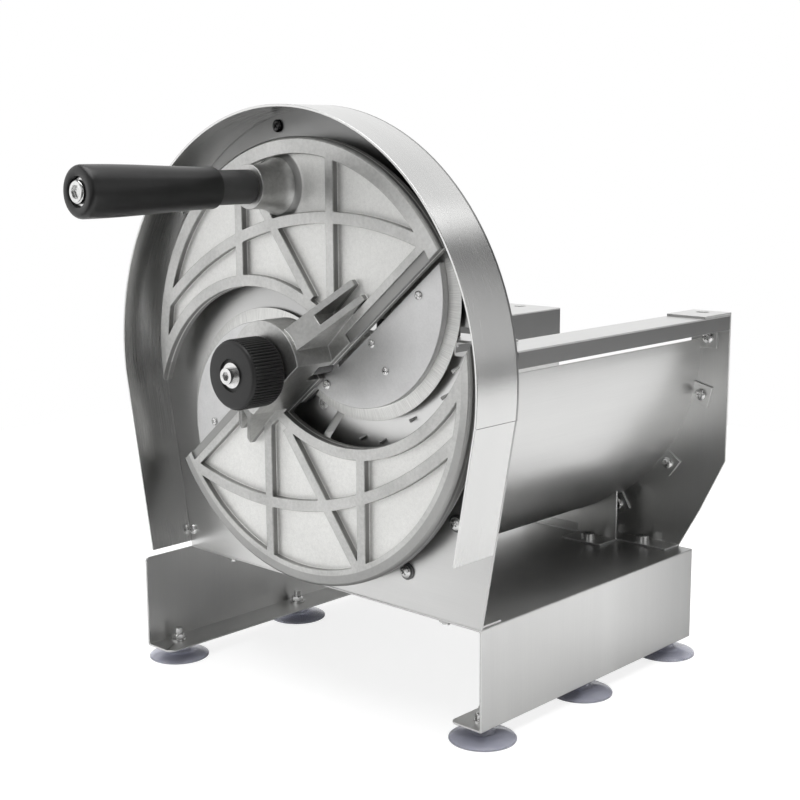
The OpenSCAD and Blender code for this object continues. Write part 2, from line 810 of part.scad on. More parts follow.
// One crescent blade, ground to an edge on its front side
blade_in_r = 27;
blade_edge_t = 0.4;
blade_grind_w = 7.6;
blade_under = 4;
blade_reach = 131;
module blade() {
    color("whitesmoke") at_hub() intersection() {
        difference() {
            place([blade_cx, blade_cz]) translate([0, -blade_rear, 0]) rotate([90, 0, 0])
                rotate_extrude($fn = 180) polygon([[blade_in_r, 0], [blade_r, 0], [blade_r, blade_edge_t],
                    [blade_r - blade_grind_w, blade_t], [blade_in_r, blade_t]]);
            plate_y(-carrier_rear - cut, blade_t + 2 * cut) hub_round(spindle_flange_r, air);
            for (p = blade_screw_at) place(p) bar_y(-carrier_rear - cut, blade_t + 2 * cut, blade_screw_r);
        }
        plate_y(-carrier_rear - cut, blade_t + 2 * cut) intersection() {
            beyond(web_half - blade_under, disc_r);
            circle(r = blade_reach, $fn = 180);
        }
    }
}
module right_blade() blade();
module left_blade() at_panel_turned() blade();

// Turns children half a turn about the hub axis
module at_panel_turned() translate([0, 0, hub_z]) rotate([0, 180, 0]) translate([0, 0, -hub_z]) children();

module blade_screws() {
    color("silver") at_hub() both_lobes() for (p = blade_screw_at) place(p)
        pan_screw_y(-carrier_front, pad_t + blade_t, blade_screw_r, blade_head_r, blade_head_h);
}
module carrier_screws() {
    color("dimgray") at_hub() both_lobes() place(carrier_screw_at)
        pan_screw_y(-carrier_front, pad_t + spindle_flange_t, m4_r, carrier_head_r, m4_head_h / 2);
}
module guide_pins() {
    color("dimgray") at_hub() both_lobes() place([pin_x, pin_z]) difference() {
        bar_y(-pin_end, pin_end - carrier_rear, pin_r);
        cone_y(-pin_end - cut, 2 * cut, pin_r / 2 + cut, 0);
    }
}

// Point i of ring j of a coil's tube, about the Y axis
function coil_point(j, i) =
    let (a = j * 360 / coil_rings, b = i * 360 / coil_sides,
        free_l = spring_pocket_end - carrier_front - spring_wire,
        y = -carrier_front - spring_wire / 2 - free_l * j / (coil_rings * spring_turns),
        r = spring_r + spring_wire / 2 * cos(b))
    [r * cos(a), y + spring_wire / 2 * sin(b), r * sin(a)];
coil_rings = 8;
coil_sides = 6;
module return_spring() {
    n = coil_rings * spring_turns;
    color("silver") at_hub() polyhedron(
        points = [for (j = [0 : n]) for (i = [0 : coil_sides - 1]) coil_point(j, i)],
        faces = concat([[for (i = [0 : coil_sides - 1]) i]],
            [[for (i = [0 : coil_sides - 1]) n * coil_sides + coil_sides - 1 - i]],
            [for (j = [0 : n - 1]) for (i = [0 : coil_sides - 1])
                let (k = (i + 1) % coil_sides, p = j * coil_sides, q = p + coil_sides)
                    [p + k, p + i, q + i]],
            [for (j = [0 : n - 1]) for (i = [0 : coil_sides - 1])
                let (k = (i + 1) % coil_sides, p = j * coil_sides, q = p + coil_sides)
                    [p + k, q + i, q + k]]));
}
coil_gap = (spring_pocket_end - carrier_front - spring_wire) / spring_turns - spring_wire;
echo("Least gap between the spring's turns", coil_gap);

// Outline of the upper lobe
module lobe() intersection() {
    difference() {
        circle(r = disc_r, $fn = 180);
        translate([inner_cx, inner_cz]) circle(r = inner_r, $fn = 180);
    }
    short_of(web_half, disc_r);
}

// Raised parts of the upper lobe: ring, rims, posts, stay and brace
module lobe_ribs() intersection() {
    lobe();
    union() {
        difference() {
            circle(r = disc_r + cut, $fn = 180);
            circle(r = disc_r - ring_w, $fn = 180);
        }
        translate([inner_cx, inner_cz]) circle(r = inner_r + inner_rib_w, $fn = 180);
        beyond(web_half - slot_step, disc_r);
        translate([post_x - post_w / 2, 0]) square([post_w, disc_r]);
        translate([left_post_x - left_post_w / 2, 0]) square([left_post_w, disc_r]);
        stay_l = norm(stay_to - stay_from);
        translate(stay_from) rotate(atan2(stay_to[1] - stay_from[1], stay_to[0] - stay_from[0]))
            translate([0, -stay_w / 2]) square([stay_l, stay_w]);
        difference() {
            translate([brace_cx, brace_cz]) circle(r = brace_r, $fn = 360);
            translate([brace_cx, brace_cz]) circle(r = brace_r - brace_w, $fn = 360);
        }
    }
}

// Thickness disc: one casting with two lobes, a web, the hub boss, two forked arms and the handle boss
module thickness_plate() {
    handle_at = crank_r * [cos(crank_dir), sin(crank_dir)];
    color("silver") at_hub() difference() {
        union() {
            both_lobes() {
                difference() {
                    plate_y(-disc_front, disc_t) lobe();
                    plate_y(-disc_front - cut, pocket_d + cut) difference() {
                        lobe();
                        lobe_ribs();
                    }
                    plate_y(-disc_front - cut, slot_step_d + cut) intersection() {
                        beyond(web_half - slot_rim, disc_r);
                        translate([arm_high_to, -disc_r]) square(2 * disc_r);
                        circle(r = disc_r - ring_w, $fn = 180);
                    }
                }
                arm();
            }
            plate_y(-disc_front, disc_t) rotate(slot_dir)
                translate([-fork_from, -web_half]) square([2 * fork_from, 2 * web_half]);
            plate_y(-pin_show, pin_show - disc_rear) intersection() {
                circle(r = boss_r, $fn = 128);
                rotate(slot_dir) translate([-boss_r, -web_half]) square([2 * boss_r, 2 * web_half]);
            }
            plate_y(-boss_front, boss_front - pin_show) intersection() {
                circle(r = boss_r, $fn = 128);
                short_of(web_half, disc_r);
            }
            place(handle_at) rotate([90, 0, 0]) translate([0, 0, disc_front - pocket_d]) rotate_extrude()
                polygon(concat([[0, 0]], [for (a = [0 : 10 : 90]) [handle_boss_r
                    + (handle_boss_foot - handle_boss_r) * (1 - sin(a)), handle_flare_h * (1 - cos(a))]],
                    [[handle_boss_r, handle_boss_h + pocket_d], [0, handle_boss_h + pocket_d]]));
        }
        bar_y(-spindle_front - cut, spindle_front + cut, spindle_r + run_gap);
        bar_y(-spring_pocket_end, spring_pocket_end, spring_pocket_r);
        bar_y(-boss_front - cut, boss_front, adjust_r + 2 * hole_gap);
        both_lobes() {
            place([pin_x, pin_z]) bar_y(-pin_end - air, pin_end, pin_r + run_gap);
            pin_window();
        }
        place(handle_at) bar_y(-disc_front - handle_boss_h - cut,
            handle_boss_h + cut + handle_thread_l - pocket_d, handle_bolt_r);
        rotate([90, 0, 0]) translate([0, 0, disc_front - ring_edge]) difference() {
            cylinder(h = ring_edge + cut, r = disc_r + cut, $fn = 180);
            translate([0, 0, -cut])
                cylinder(h = cut + ring_edge, r1 = disc_r + cut, r2 = disc_r - ring_edge, $fn = 180);
            cylinder(h = ring_edge + 2 * cut, r = disc_r - ring_edge, $fn = 180);
        }
    }
}

// The side of the hub is open where a guide pin shows
module pin_window() {
    o = pin_x * slot_s - pin_z * slot_c;
    t = pin_x * slot_c + pin_z * slot_s;
    plate_y(-pin_show, pin_show) rotate(slot_dir)
        translate([t - pin_r - pin_bite, -web_half - cut])
            square([2 * (pin_r + pin_bite), web_half + cut - o]);
}

// One forked arm, high at the hub and sloping down to the lobe
module arm() rotate([0, -arm_dir, 0]) difference() {
    translate([0, 0, -arm_w / 2]) linear_extrude(arm_w)
        polygon([[arm_from, -disc_rear], [arm_from, -boss_front], [arm_high_to, -boss_front],
            [arm_to, -disc_front], [arm_to, -disc_rear]]);
    translate([fork_from, -boss_front, -fork_w / 2])
        cube([arm_to, boss_front - disc_front + pocket_d, fork_w]);
}

// Crank handle: sleeve and bolt on the disc, grip turning between them
module at_crank() at_hub() place(crank_r * [cos(crank_dir), sin(crank_dir)]) children();
module handle_sleeve() color("dimgray") at_crank() difference() {
    bar_y(-sleeve_front_y, sleeve_l, sleeve_r);
    bar_y(-sleeve_front_y - cut, sleeve_l + 2 * cut, handle_bolt_r);
}
module handle_bolt() {
    root = disc_front + pocket_d - handle_thread_l;
    color("silver") at_crank() difference() {
        union() {
            bar_y(-handle_seat, handle_seat - root, handle_bolt_r);
            bar_y(-front_reach + handle_head_h / 4, handle_head_h * 3 / 4, handle_head_r);
            cone_y(-front_reach, handle_head_h / 4, handle_head_r - handle_head_h / 4, handle_head_r);
        }
        translate([0, -front_reach + handle_head_h / 2, 0]) rotate([90, 0, 0])
            cylinder(h = handle_head_h, r = handle_head_r * hex_share, $fn = 6);
    }
}
module handle_washer() color("silver") at_crank() difference() {
    bar_y(-handle_seat, washer_t, handle_washer_r);
    bar_y(-handle_seat - cut, washer_t + 2 * cut, handle_bolt_r);
}
module grip() {
    l = grip_l - air / 2;
    color([0.1, 0.1, 0.11]) at_crank() translate([0, -grip_start, 0]) rotate([90, 0, 0]) rotate_extrude()
        polygon(concat([[handle_bolt_r + run_gap, 0], [grip_small_r - grip_edge / 4, 0],
            [grip_small_r, grip_edge / 4]],
            [for (a = [0 : 15 : 90]) [grip_r - grip_edge * (1 - cos(a)), l - grip_edge * (1 - sin(a))]],
            [[handle_washer_r + air, l], [handle_washer_r + air, l - handle_sunk],
                [handle_bolt_r + run_gap, l - handle_sunk]]));
}

// Adjusting screw: turns in the spindle's thread, with the knob on its front end
screw_in = 6;
screw_front = knob_front - screw_in;
module adjusting_screw() color("silver") at_hub() difference() {
    bar_y(-screw_front, screw_front - adjust_end - air, adjust_r);
    bar_y(-screw_front - cut, knob_bolt_l, knob_bolt_r);
}

// Knob: a knurled barrel with a recess in front
module knob() {
    barrel = knob_l - 2 * knob_edge;
    color([0.08, 0.08, 0.08]) at_hub() difference() {
        union() {
            plate_y(-knob_front + knob_edge, barrel) polygon([for (i = [0 : 2 * knurl_n - 1])
                (knob_r - (i % 2) * knurl_d) * [cos(i * 180 / knurl_n), sin(i * 180 / knurl_n)]]);
            cone_y(-knob_front, knob_edge, knob_r - knob_edge, knob_core_r);
            cone_y(-knob_rear - knob_edge, knob_edge, knob_core_r, knob_r - knob_edge);
        }
        bar_y(-screw_front, screw_front, adjust_r);
        bar_y(-knob_front - cut, knob_l, knob_bolt_r);
        bar_y(-knob_front - cut, knob_recess_d + cut, knob_recess_r);
    }
}
module knob_washer() color("silver") at_hub() difference() {
    bar_y(-knob_front + knob_recess_d - washer_t, washer_t, knob_washer_r);
    bar_y(-knob_front - cut, knob_recess_d + 2 * cut, knob_bolt_r);
}
module knob_bolt() {
    seat = knob_front - knob_recess_d + washer_t;
    color("silver") at_hub() difference() {
        union() {
            bar_y(-seat, seat - screw_front + knob_bolt_l - 2 * cut, knob_bolt_r);
            bar_y(-seat - knob_head_h, knob_head_h, knob_head_r);
        }
        translate([0, -seat - knob_head_h / 2, 0]) rotate([90, 0, 0])
            cylinder(h = knob_head_h, r = knob_head_r * hex_share, $fn = 6);
    }
}

// Pusher: a face plate with ears bent back under its bridge
pusher_in = sheet + slide_gap;
push_top = 13.5;
wing_low_in = 18;
wing_in = 9;
wing_from = trough_r - wing_low_in;
wing_to = trough_r - wing_in;
ear_x = [34, 86];
ear_w = 20;
ear_d = 16;
bridge_z = near_rise + air;
bridge_over = 7;
bridge_right = end_right - end_rail_w + bridge_over;
bridge_left = -20;
bridge_d = 24;
runner_w = 24;
module pusher_plate() {
    right = end_right - end_rail_w - slide_gap;
    color("lightgray") at_hub() difference() {
        union() {
            plate_y(push_y, sheet) {
                chute_section(pusher_in, push_top);
                polygon([[right - ear_w, 0], [right, 0], [right, bridge_z], [wing_to, bridge_z],
                    [wing_from, push_top], [right - ear_w, push_top]]);
                for (x = ear_x) translate([x, push_top - cut]) square([ear_w, bridge_z - push_top + cut]);
            }
            for (x = ear_x) translate([x, push_y, bridge_z - sheet]) cube([ear_w, ear_d, sheet]);
        }
        for (x = ear_x) translate([x + ear_w / 2, push_y + ear_d / 2 + sheet, bridge_z - sheet - cut])
            cylinder(h = sheet + 2 * cut, r = m4_r + hole_gap);
    }
}

// Teeth struck out of the pusher's face, in rows
tooth_w = 6.4;
tooth_h = 4;
tooth_t = 1;
tooth_step = 16;
tooth_dir = 38;
first_share = 0.7;
module pusher_spikes() {
    clear = tooth_w;
    color("gray") at_hub() for (i = [0 : 7]) for (j = [0 : 7]) {
        x = wall_x + tooth_step * (i + first_share + (j % 2) / 2);
        z = -tooth_step * (j - first_share / 2);
        d = norm([x, z]);
        if (d < trough_r - pusher_in - clear && d > knee_low + clear && x < trough_r) place([x, z])
            rotate([0, -tooth_dir, 0]) translate([0, push_y, -tooth_t / 2]) linear_extrude(tooth_t)
                polygon([[-tooth_w / 2, 0], [0, -tooth_h], [tooth_w / 2, 0]]);
    }
}

// Bridge: a plate over both rails, with a runner on the far rail
post_x_at = [for (x = ear_x) x + ear_w / 2];
post_y = push_y + ear_d / 2 + sheet;
post_r = 5;
bar_r = 6;
bar_over = 8;
bow_h = 26;
post_thread = 12;
module pusher_bridge() {
    y0 = push_y + sheet;
    color("silver") at_hub() difference() {
        union() {
            translate([bridge_left, y0, bridge_z]) cube([bridge_right - bridge_left, bridge_d, sheet]);
            translate([bridge_left, y0, far_rise + air]) cube([sheet, bridge_d, bridge_z - far_rise - air]);
            translate([bridge_left, y0, far_rise + air]) cube([runner_w, bridge_d, sheet]);
        }
        for (x = post_x_at) translate([x, post_y, bridge_z - cut])
            cylinder(h = sheet + 2 * cut, r = m4_r + hole_gap);
    }
}
module pusher_handle() {
    base = bridge_z + sheet;
    l = post_x_at[1] - post_x_at[0] + 2 * bar_over;
    color([0.12, 0.12, 0.12]) at_hub() difference() {
        union() {
            for (x = post_x_at) translate([x, post_y, base]) cylinder(h = bow_h, r = post_r);
            translate([post_x_at[0] - bar_over, post_y, base + bow_h]) rotate([0, 90, 0])
                cylinder(h = l, r = bar_r);
        }
        for (x = post_x_at) translate([x, post_y, base - cut]) cylinder(h = post_thread + cut, r = m4_r);
    }
}

// Screws from below through ear and bridge into the handle's posts
module pusher_screws() {
    seat = bridge_z - sheet;
    color("silver") at_hub() for (x = post_x_at) translate([x, post_y, 0]) mirror([0, 0, 1])
        pan_screw_z(-seat, 2 * sheet + post_thread, m4_r, m4_head_r, m4_head_h);
}

base_plate();
front_panel();
guard_band();
trough();
trough_saddle();
end_plate();
near_rail();
far_rail();
bearing_housing();
front_bush();
rear_bush();
housing_screws();
suction_cups();
cup_studs();
cup_washers();
cup_nuts();
panel_screws();
panel_nuts();
trough_front_screws();
trough_front_washers();
trough_rear_screws();
trough_nuts();
base_bolts();
base_nuts();
spindle();
thrust_washer();
spindle_collar();
collar_screw();
blade_carrier();
right_blade();
left_blade();
blade_screws();
carrier_screws();
guide_pins();
return_spring();
thickness_plate();
handle_sleeve();
handle_bolt();
handle_washer();
grip();
adjusting_screw();
knob();
knob_washer();
knob_bolt();
pusher_plate();
pusher_spikes();
pusher_bridge();
pusher_handle();
pusher_screws();
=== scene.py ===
# %% [markdown]
# # A hand-cranked fruit slicer, dressed for the camera
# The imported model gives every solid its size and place. This lesson keeps those places and adds what a
# real machine shows up close: rounded sheet edges, cast ribs, ground blades, cross-headed screws, a knurled
# knob and clear suction cups. Everything is in metres, in the model's own frame.

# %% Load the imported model
import bpy
import bmesh
import json
import math
from mathutils import Matrix, Vector


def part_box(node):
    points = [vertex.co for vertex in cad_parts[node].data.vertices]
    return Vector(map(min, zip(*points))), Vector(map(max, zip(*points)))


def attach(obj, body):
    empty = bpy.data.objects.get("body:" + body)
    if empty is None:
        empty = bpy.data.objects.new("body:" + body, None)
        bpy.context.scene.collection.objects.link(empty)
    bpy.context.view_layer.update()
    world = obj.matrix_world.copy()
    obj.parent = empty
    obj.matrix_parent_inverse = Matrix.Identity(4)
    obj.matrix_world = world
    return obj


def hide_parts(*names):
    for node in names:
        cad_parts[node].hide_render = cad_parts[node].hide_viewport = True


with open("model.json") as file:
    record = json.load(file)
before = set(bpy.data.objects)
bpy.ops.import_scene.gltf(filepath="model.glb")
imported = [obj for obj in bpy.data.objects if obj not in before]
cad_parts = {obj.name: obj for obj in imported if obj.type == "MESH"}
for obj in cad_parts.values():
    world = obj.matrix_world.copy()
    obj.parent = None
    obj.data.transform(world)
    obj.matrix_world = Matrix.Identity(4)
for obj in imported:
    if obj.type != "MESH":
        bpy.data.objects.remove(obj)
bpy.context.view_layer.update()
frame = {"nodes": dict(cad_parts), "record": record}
MM = 0.001
NODES = frame["nodes"]
BODY_OF = {n: b for b, names in frame["record"]["behaviour"]["bodies"].items() for n in names}
SLOT_OF = {s["node"]: s["material_slot"] for s in frame["record"]["subparts"]}

# %% [markdown]
# ## Places on the machine
# The hub axis runs along Y at X = 0. Depths are counted from the front panel's front face, so both values
# are read from the model instead of being typed in again.

# %% Hub and panel
PANEL_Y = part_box("front_panel")[0].y
hub_low, hub_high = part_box("knob")
HUB = Vector((0.0, PANEL_Y, (hub_low.z + hub_high.z) / 2))
print("panel front at", round(PANEL_Y, 5), "hub height", round(HUB.z, 4))

# %% [markdown]
# ## The camera
# A camera is a place, a direction and a focal length. These were worked out together with the machine's sizes,
# from points on the picture's edges: round ones on the disc, the band and the panel, straight ones, a
# few corners, and the extents of the cups. The lens comes out near 63 mm on a 36 mm sensor. A small shift moves
# the picture's middle without turning the camera.

# %% Camera
FRAME_PX = 800
SENSOR = 36.0
focal_px = 1393.25
camera_at = Vector((606.54, PANEL_Y / MM - 578.40, 335.50)) * MM
azimuth, dip, roll = (math.radians(a) for a in (44.035, 9.869, -0.478))
back = Vector((math.sin(azimuth) * math.cos(dip), -math.cos(azimuth) * math.cos(dip), math.sin(dip)))
right = Vector((math.cos(azimuth), math.sin(azimuth), 0.0))
up = back.cross(right)
rolled_right = right * math.cos(roll) + up * math.sin(roll)
rolled_up = up * math.cos(roll) - right * math.sin(roll)
camera_data = bpy.data.cameras.new("camera")
camera = bpy.data.objects.new("camera", camera_data)
camera_data.sensor_width = SENSOR
camera_data.lens = focal_px * SENSOR / FRAME_PX
camera_data.shift_x, camera_data.shift_y = 25.18 / FRAME_PX, -4.91 / FRAME_PX
camera_data.clip_start, camera_data.clip_end = 0.02, 50.0
turn = Matrix((rolled_right, rolled_up, back)).transposed().to_4x4()
camera.matrix_world = Matrix.Translation(camera_at) @ turn
bpy.context.scene.collection.objects.link(camera)
bpy.context.scene.camera = camera
print("lens", round(camera_data.lens, 1), "mm")

# %% [markdown]
# ## Writing shaders as sums
# A node tree drawn by hand gets hard to read. Here a socket is wrapped in a small class whose operators add
# Math nodes, so a pattern reads like a formula. Every node comes from one function, `add_node`, which takes its
# type, its settings, and the values or links of its sockets.


# %% Socket arithmetic
class Wire:
    """One output socket, with the operators that the patterns use."""

    def __init__(self, tree, socket):
        self.tree, self.socket = tree, socket

    def _math(self, kind, other=None, swap=False):
        values = [self] if other is None else ([other, self] if swap else [self, other])
        n = add_node(self.tree, "ShaderNodeMath", {"operation": kind}, dict(enumerate(values)))
        return Wire(self.tree, n.outputs[0])

    def __add__(self, o): return self._math("ADD", o)
    def __radd__(self, o): return self._math("ADD", o, True)
    def __sub__(self, o): return self._math("SUBTRACT", o)
    def __rsub__(self, o): return self._math("SUBTRACT", o, True)
    def __mul__(self, o): return self._math("MULTIPLY", o)
    def __rmul__(self, o): return self._math("MULTIPLY", o, True)
    def __gt__(self, o): return self._math("GREATER_THAN", o)
    def __lt__(self, o): return self._math("LESS_THAN", o)
    def clamp(self): return self._math("MAXIMUM", 0.0)._math("MINIMUM", 1.0)
    def absolute(self): return self._math("ABSOLUTE")
    def root(self): return self._math("SQRT")
    def rise(self): return self._math("ARCSINE")
    def angle(self, o): return self._math("ARCTAN2", o)


def plug(tree, socket, value):
    """Links a Wire to a socket, or sets a plain value on it."""
    if isinstance(value, Wire):
        tree.links.new(value.socket, socket)
    elif isinstance(value, (tuple, list)) and len(value) == 3 and socket.type == "RGBA":
        socket.default_value = (*value, 1.0)
    else:
        socket.default_value = value


def add_node(tree, kind, settings=None, inputs=None):
    """Makes a node: its settings are set first, then its sockets are given values or links."""
    n = tree.nodes.new(kind)
    for key, value in (settings or {}).items():
        setattr(n, key, value)
    for key, value in (inputs or {}).items():
        plug(tree, n.inputs[key], value)
    return n


print("socket arithmetic is ready")

# %% [markdown]
# ## One class for every finish
# Each material here is one Principled shader with patterns plugged into it. A small class makes the material,
# keeps the object's own coordinates at hand and has a method for each kind of pattern. What is the same all over
# a surface is set on the shader's own socket.


# %% A finish
class Finish:
    """A material with one Principled shader, and the methods that build its patterns."""

    def __init__(self, name, **constants):
        self.material = bpy.data.materials.new(name)
        self.material.use_nodes = True
        self.tree = self.material.node_tree
        self.shader = next(n for n in self.tree.nodes if n.type == "BSDF_PRINCIPLED")
        for key, value in constants.items():
            plug(self.tree, self.shader.inputs[key.replace("_", " ")], value)
        self.where = Wire(self.tree, self.node("ShaderNodeTexCoord").outputs["Object"])

    def node(self, kind, settings=None, inputs=None):
        return add_node(self.tree, kind, settings, inputs)

    def axes(self):
        n = self.node("ShaderNodeSeparateXYZ", inputs={0: self.where})
        return [Wire(self.tree, o) for o in n.outputs]

    def point(self, x, y, z):
        return Wire(self.tree, self.node("ShaderNodeCombineXYZ", inputs={0: x, 1: y, 2: z}).outputs[0])

    def noise(self, where, scale, detail=2.0, rough=0.5):
        n = self.node("ShaderNodeTexNoise", inputs={
            "Vector": where, "Scale": scale, "Detail": detail, "Roughness": rough})
        return Wire(self.tree, n.outputs["Fac"])

    def stretched(self, scales):
        n = self.node("ShaderNodeVectorMath", {"operation": "MULTIPLY"}, {0: self.where, 1: scales})
        return Wire(self.tree, n.outputs[0])

    def between(self, share, dark, light):
        n = self.node("ShaderNodeMix", {"data_type": "RGBA"})
        for i, v in ((0, share), (6, dark), (7, light)):
            plug(self.tree, n.inputs[i], v)
        return Wire(self.tree, n.outputs[2])

    def give(self, **links):
        for key, value in links.items():
            plug(self.tree, self.shader.inputs[key.replace("_", " ")], value)
        return self

    def bump(self, height, distance):
        n = self.node("ShaderNodeBump", inputs={"Height": height, "Distance": distance, "Strength": 1.0})
        return self.give(Normal=Wire(self.tree, n.outputs[0]))


print("finishes can be made")

# %% [markdown]
# ## Brushed stainless sheet
# A belt grinder leaves fine scratches that all run one way. Noise squeezed hard across the sheet and left
# long along it looks like that, and it drives colour, roughness and a very shallow bump together. A slow
# second noise gives the uneven, hand-wiped look of thin sheet. Each piece names the way its scratches run, and
# the band's run round it, because its noise is squeezed along Y alone.
# Part of the picture's shading is put in the finish, since soft boxes alone don't give it: a fade is a slope
# along the axes, and darkens the panel towards its arch, the base towards its rear and the rails' sides.


# %% Brushed steel
# Dark grey: the darkest colour of the painted shade on the sheets, and the colour of the black screw head at the
# arch's top.
PAINTED_SHADE_AND_BLACK_HEAD = (0.07, 0.07, 0.07)
FINER, STREAK = 2.7, 55.0


def brushed_steel(name, scales, light=0.66, rough=0.3, depth=1.2e-5, painted_shade=None):
    """The last argument paints shade: slopes along X, Y and Z, a start, and the share of darkening at its end."""
    f = Finish(name, Metallic=1.0, IOR=2.5)
    lines = f.noise(f.stretched(scales), 1.0, 3.0, 0.65)
    fine = f.noise(f.stretched(tuple(s * FINER for s in scales)), 1.0, 2.0, 0.6)
    cloud = f.noise(f.where, 14.0, 3.0, 0.55)
    # Painted reflection: wide soft streaks along the brushing stand in for the sheet's streaky reflections.
    painted_streaks = f.noise(f.stretched(tuple(s / STREAK for s in scales)), 1.0, 2.0, 0.5)
    tone = (lines * 0.6 + fine * 0.4)
    shade = (tone * 0.6 + cloud * 0.4 + painted_streaks * 0.4 - 0.2).clamp()
    colour = f.between(shade, (light * 0.86,) * 3, (light * 1.12, light * 1.12, light * 1.1))
    if painted_shade:
        # Painted shade: the colour is mixed towards dark grey along the slope.
        x, y, z = f.axes()
        per_x, per_y, per_z, start, share = painted_shade
        colour = f.between((x * per_x + y * per_y + z * per_z + start).clamp() * share, colour, PAINTED_SHADE_AND_BLACK_HEAD)
    f.give(Base_Color=colour,
           Roughness=(rough - 0.07 + tone * 0.1 + cloud * 0.08).clamp())
    f.bump(tone, depth)
    return f.material


ACROSS, ALONG = 2600.0, 18.0
sheet_z_lines = brushed_steel("steel_brushed_down", (ACROSS, ACROSS, ALONG))
sheet_y_lines = brushed_steel("steel_brushed_back", (ACROSS, ALONG, ACROSS))
sheet_x_lines = brushed_steel("steel_brushed_across", (ALONG, ACROSS, ACROSS))
# Painted shade: the panel darkens towards its arch, the base towards its rear and the rails below their tops.
ARCH_SHADE_SPAN, ARCH_SLANT, ARCH_START = 220.0 * MM, 0.6, 0.35
REAR_SHADE_SPAN, REAR_FROM = 120.0 * MM, 120.0 * MM
RAIL_EDGE, RAIL_TOP = 0.4 * MM, 0.7 * MM
panel_sheet = brushed_steel("steel_panel", (ALONG, ACROSS, ACROSS), 0.66,
                            painted_shade=(ARCH_SLANT / ARCH_SHADE_SPAN, 0, 1 / ARCH_SHADE_SPAN, ARCH_START - HUB.z / ARCH_SHADE_SPAN, 0.72))
base_sheet = brushed_steel("steel_base", (ACROSS, ACROSS, ALONG),
                           painted_shade=(0, 1 / REAR_SHADE_SPAN, 0, -(PANEL_Y + REAR_FROM) / REAR_SHADE_SPAN, 0.6))
rail_sheets = {}
for node in ("near_rail", "far_rail"):
    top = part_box(node)[1].z - RAIL_TOP
    rail_sheets[node] = brushed_steel("steel_" + node, (ACROSS, ALONG, ACROSS),
                                      painted_shade=(0, 0, -1 / RAIL_EDGE, top / RAIL_EDGE, 0.74))
band_steel = brushed_steel("steel_band", (ALONG, ACROSS, ALONG), 0.7, 0.24)
print("brushed steels made")

# %% [markdown]
# ## Ground blades
# Marks that point away from a circle's middle need polar coordinates: the distance from the middle and the
# angle round it. The blade's face has straight, soft grinding; its bevel has short radial marks, like a coin's
# milled edge, because the wheel crosses the edge there.


# %% Blade steel
BLADE_MIDDLE = Vector((39.5, 46.0)) * MM
BLADE_EDGE = 76.5 * MM
BEVEL_WIDTH = 7.6 * MM


def blade_steel(name, side):
    f = Finish(name, Metallic=1.0, IOR=2.5)
    x, y, z = f.axes()
    dx, dz = x - side * BLADE_MIDDLE.x, z - (HUB.z + side * BLADE_MIDDLE.y)
    reach = (dx * dx + dz * dz).root()
    bevel = ((reach - (BLADE_EDGE - BEVEL_WIDTH)) * (1 / (0.5 * MM))).clamp()
    turn_at = dz.angle(dx)
    marks = f.noise(f.point(turn_at * 320.0, reach * 90.0, 0.0), 1.0, 1.0, 0.5)
    coarse = f.noise(f.point(turn_at * 60.0, reach * 40.0, 4.0), 1.0, 2.0, 0.5)
    lines = f.noise(f.stretched((900.0, 900.0, 60.0)), 1.0, 3.0, 0.6)
    cut = ((marks * 0.9 + coarse * 0.3 - 0.05) * 1.1).clamp()
    tone = bevel * cut + (1 - bevel) * (lines * 0.5 + 0.45)
    f.give(Base_Color=f.between(tone.clamp(), (0.5, 0.5, 0.49), (0.97, 0.97, 0.95)),
           Roughness=(0.3 + bevel * 0.16 + lines * 0.08).clamp())
    f.bump(tone, 1.2e-5)
    return f.material


print("blade steel is ready")

# %% [markdown]
# ## Cast and machined aluminium
# The disc is one casting. Its raised ribs, ring and hub were skimmed on a lathe and shine softly; the floors
# between them keep the sand-blasted skin, matt and full of tiny pits. Which is which depends only on depth,
# so one mask on the Y coordinate tells them apart. Two more depth masks darken the ribs' walls and the disc's
# outer side, and a mask on the radius darkens the lower rim, as the picture's reflections do.


# %% Cast aluminium
DISC_FRONT = 17.2 * MM  # from the panel to the tops of the ribs
POCKET = 4.0 * MM  # from there down to the floors
RIM_FROM, RIM_TOP, RIM_SHADE_SPAN = 128.0 * MM, 20.0 * MM, 50.0 * MM


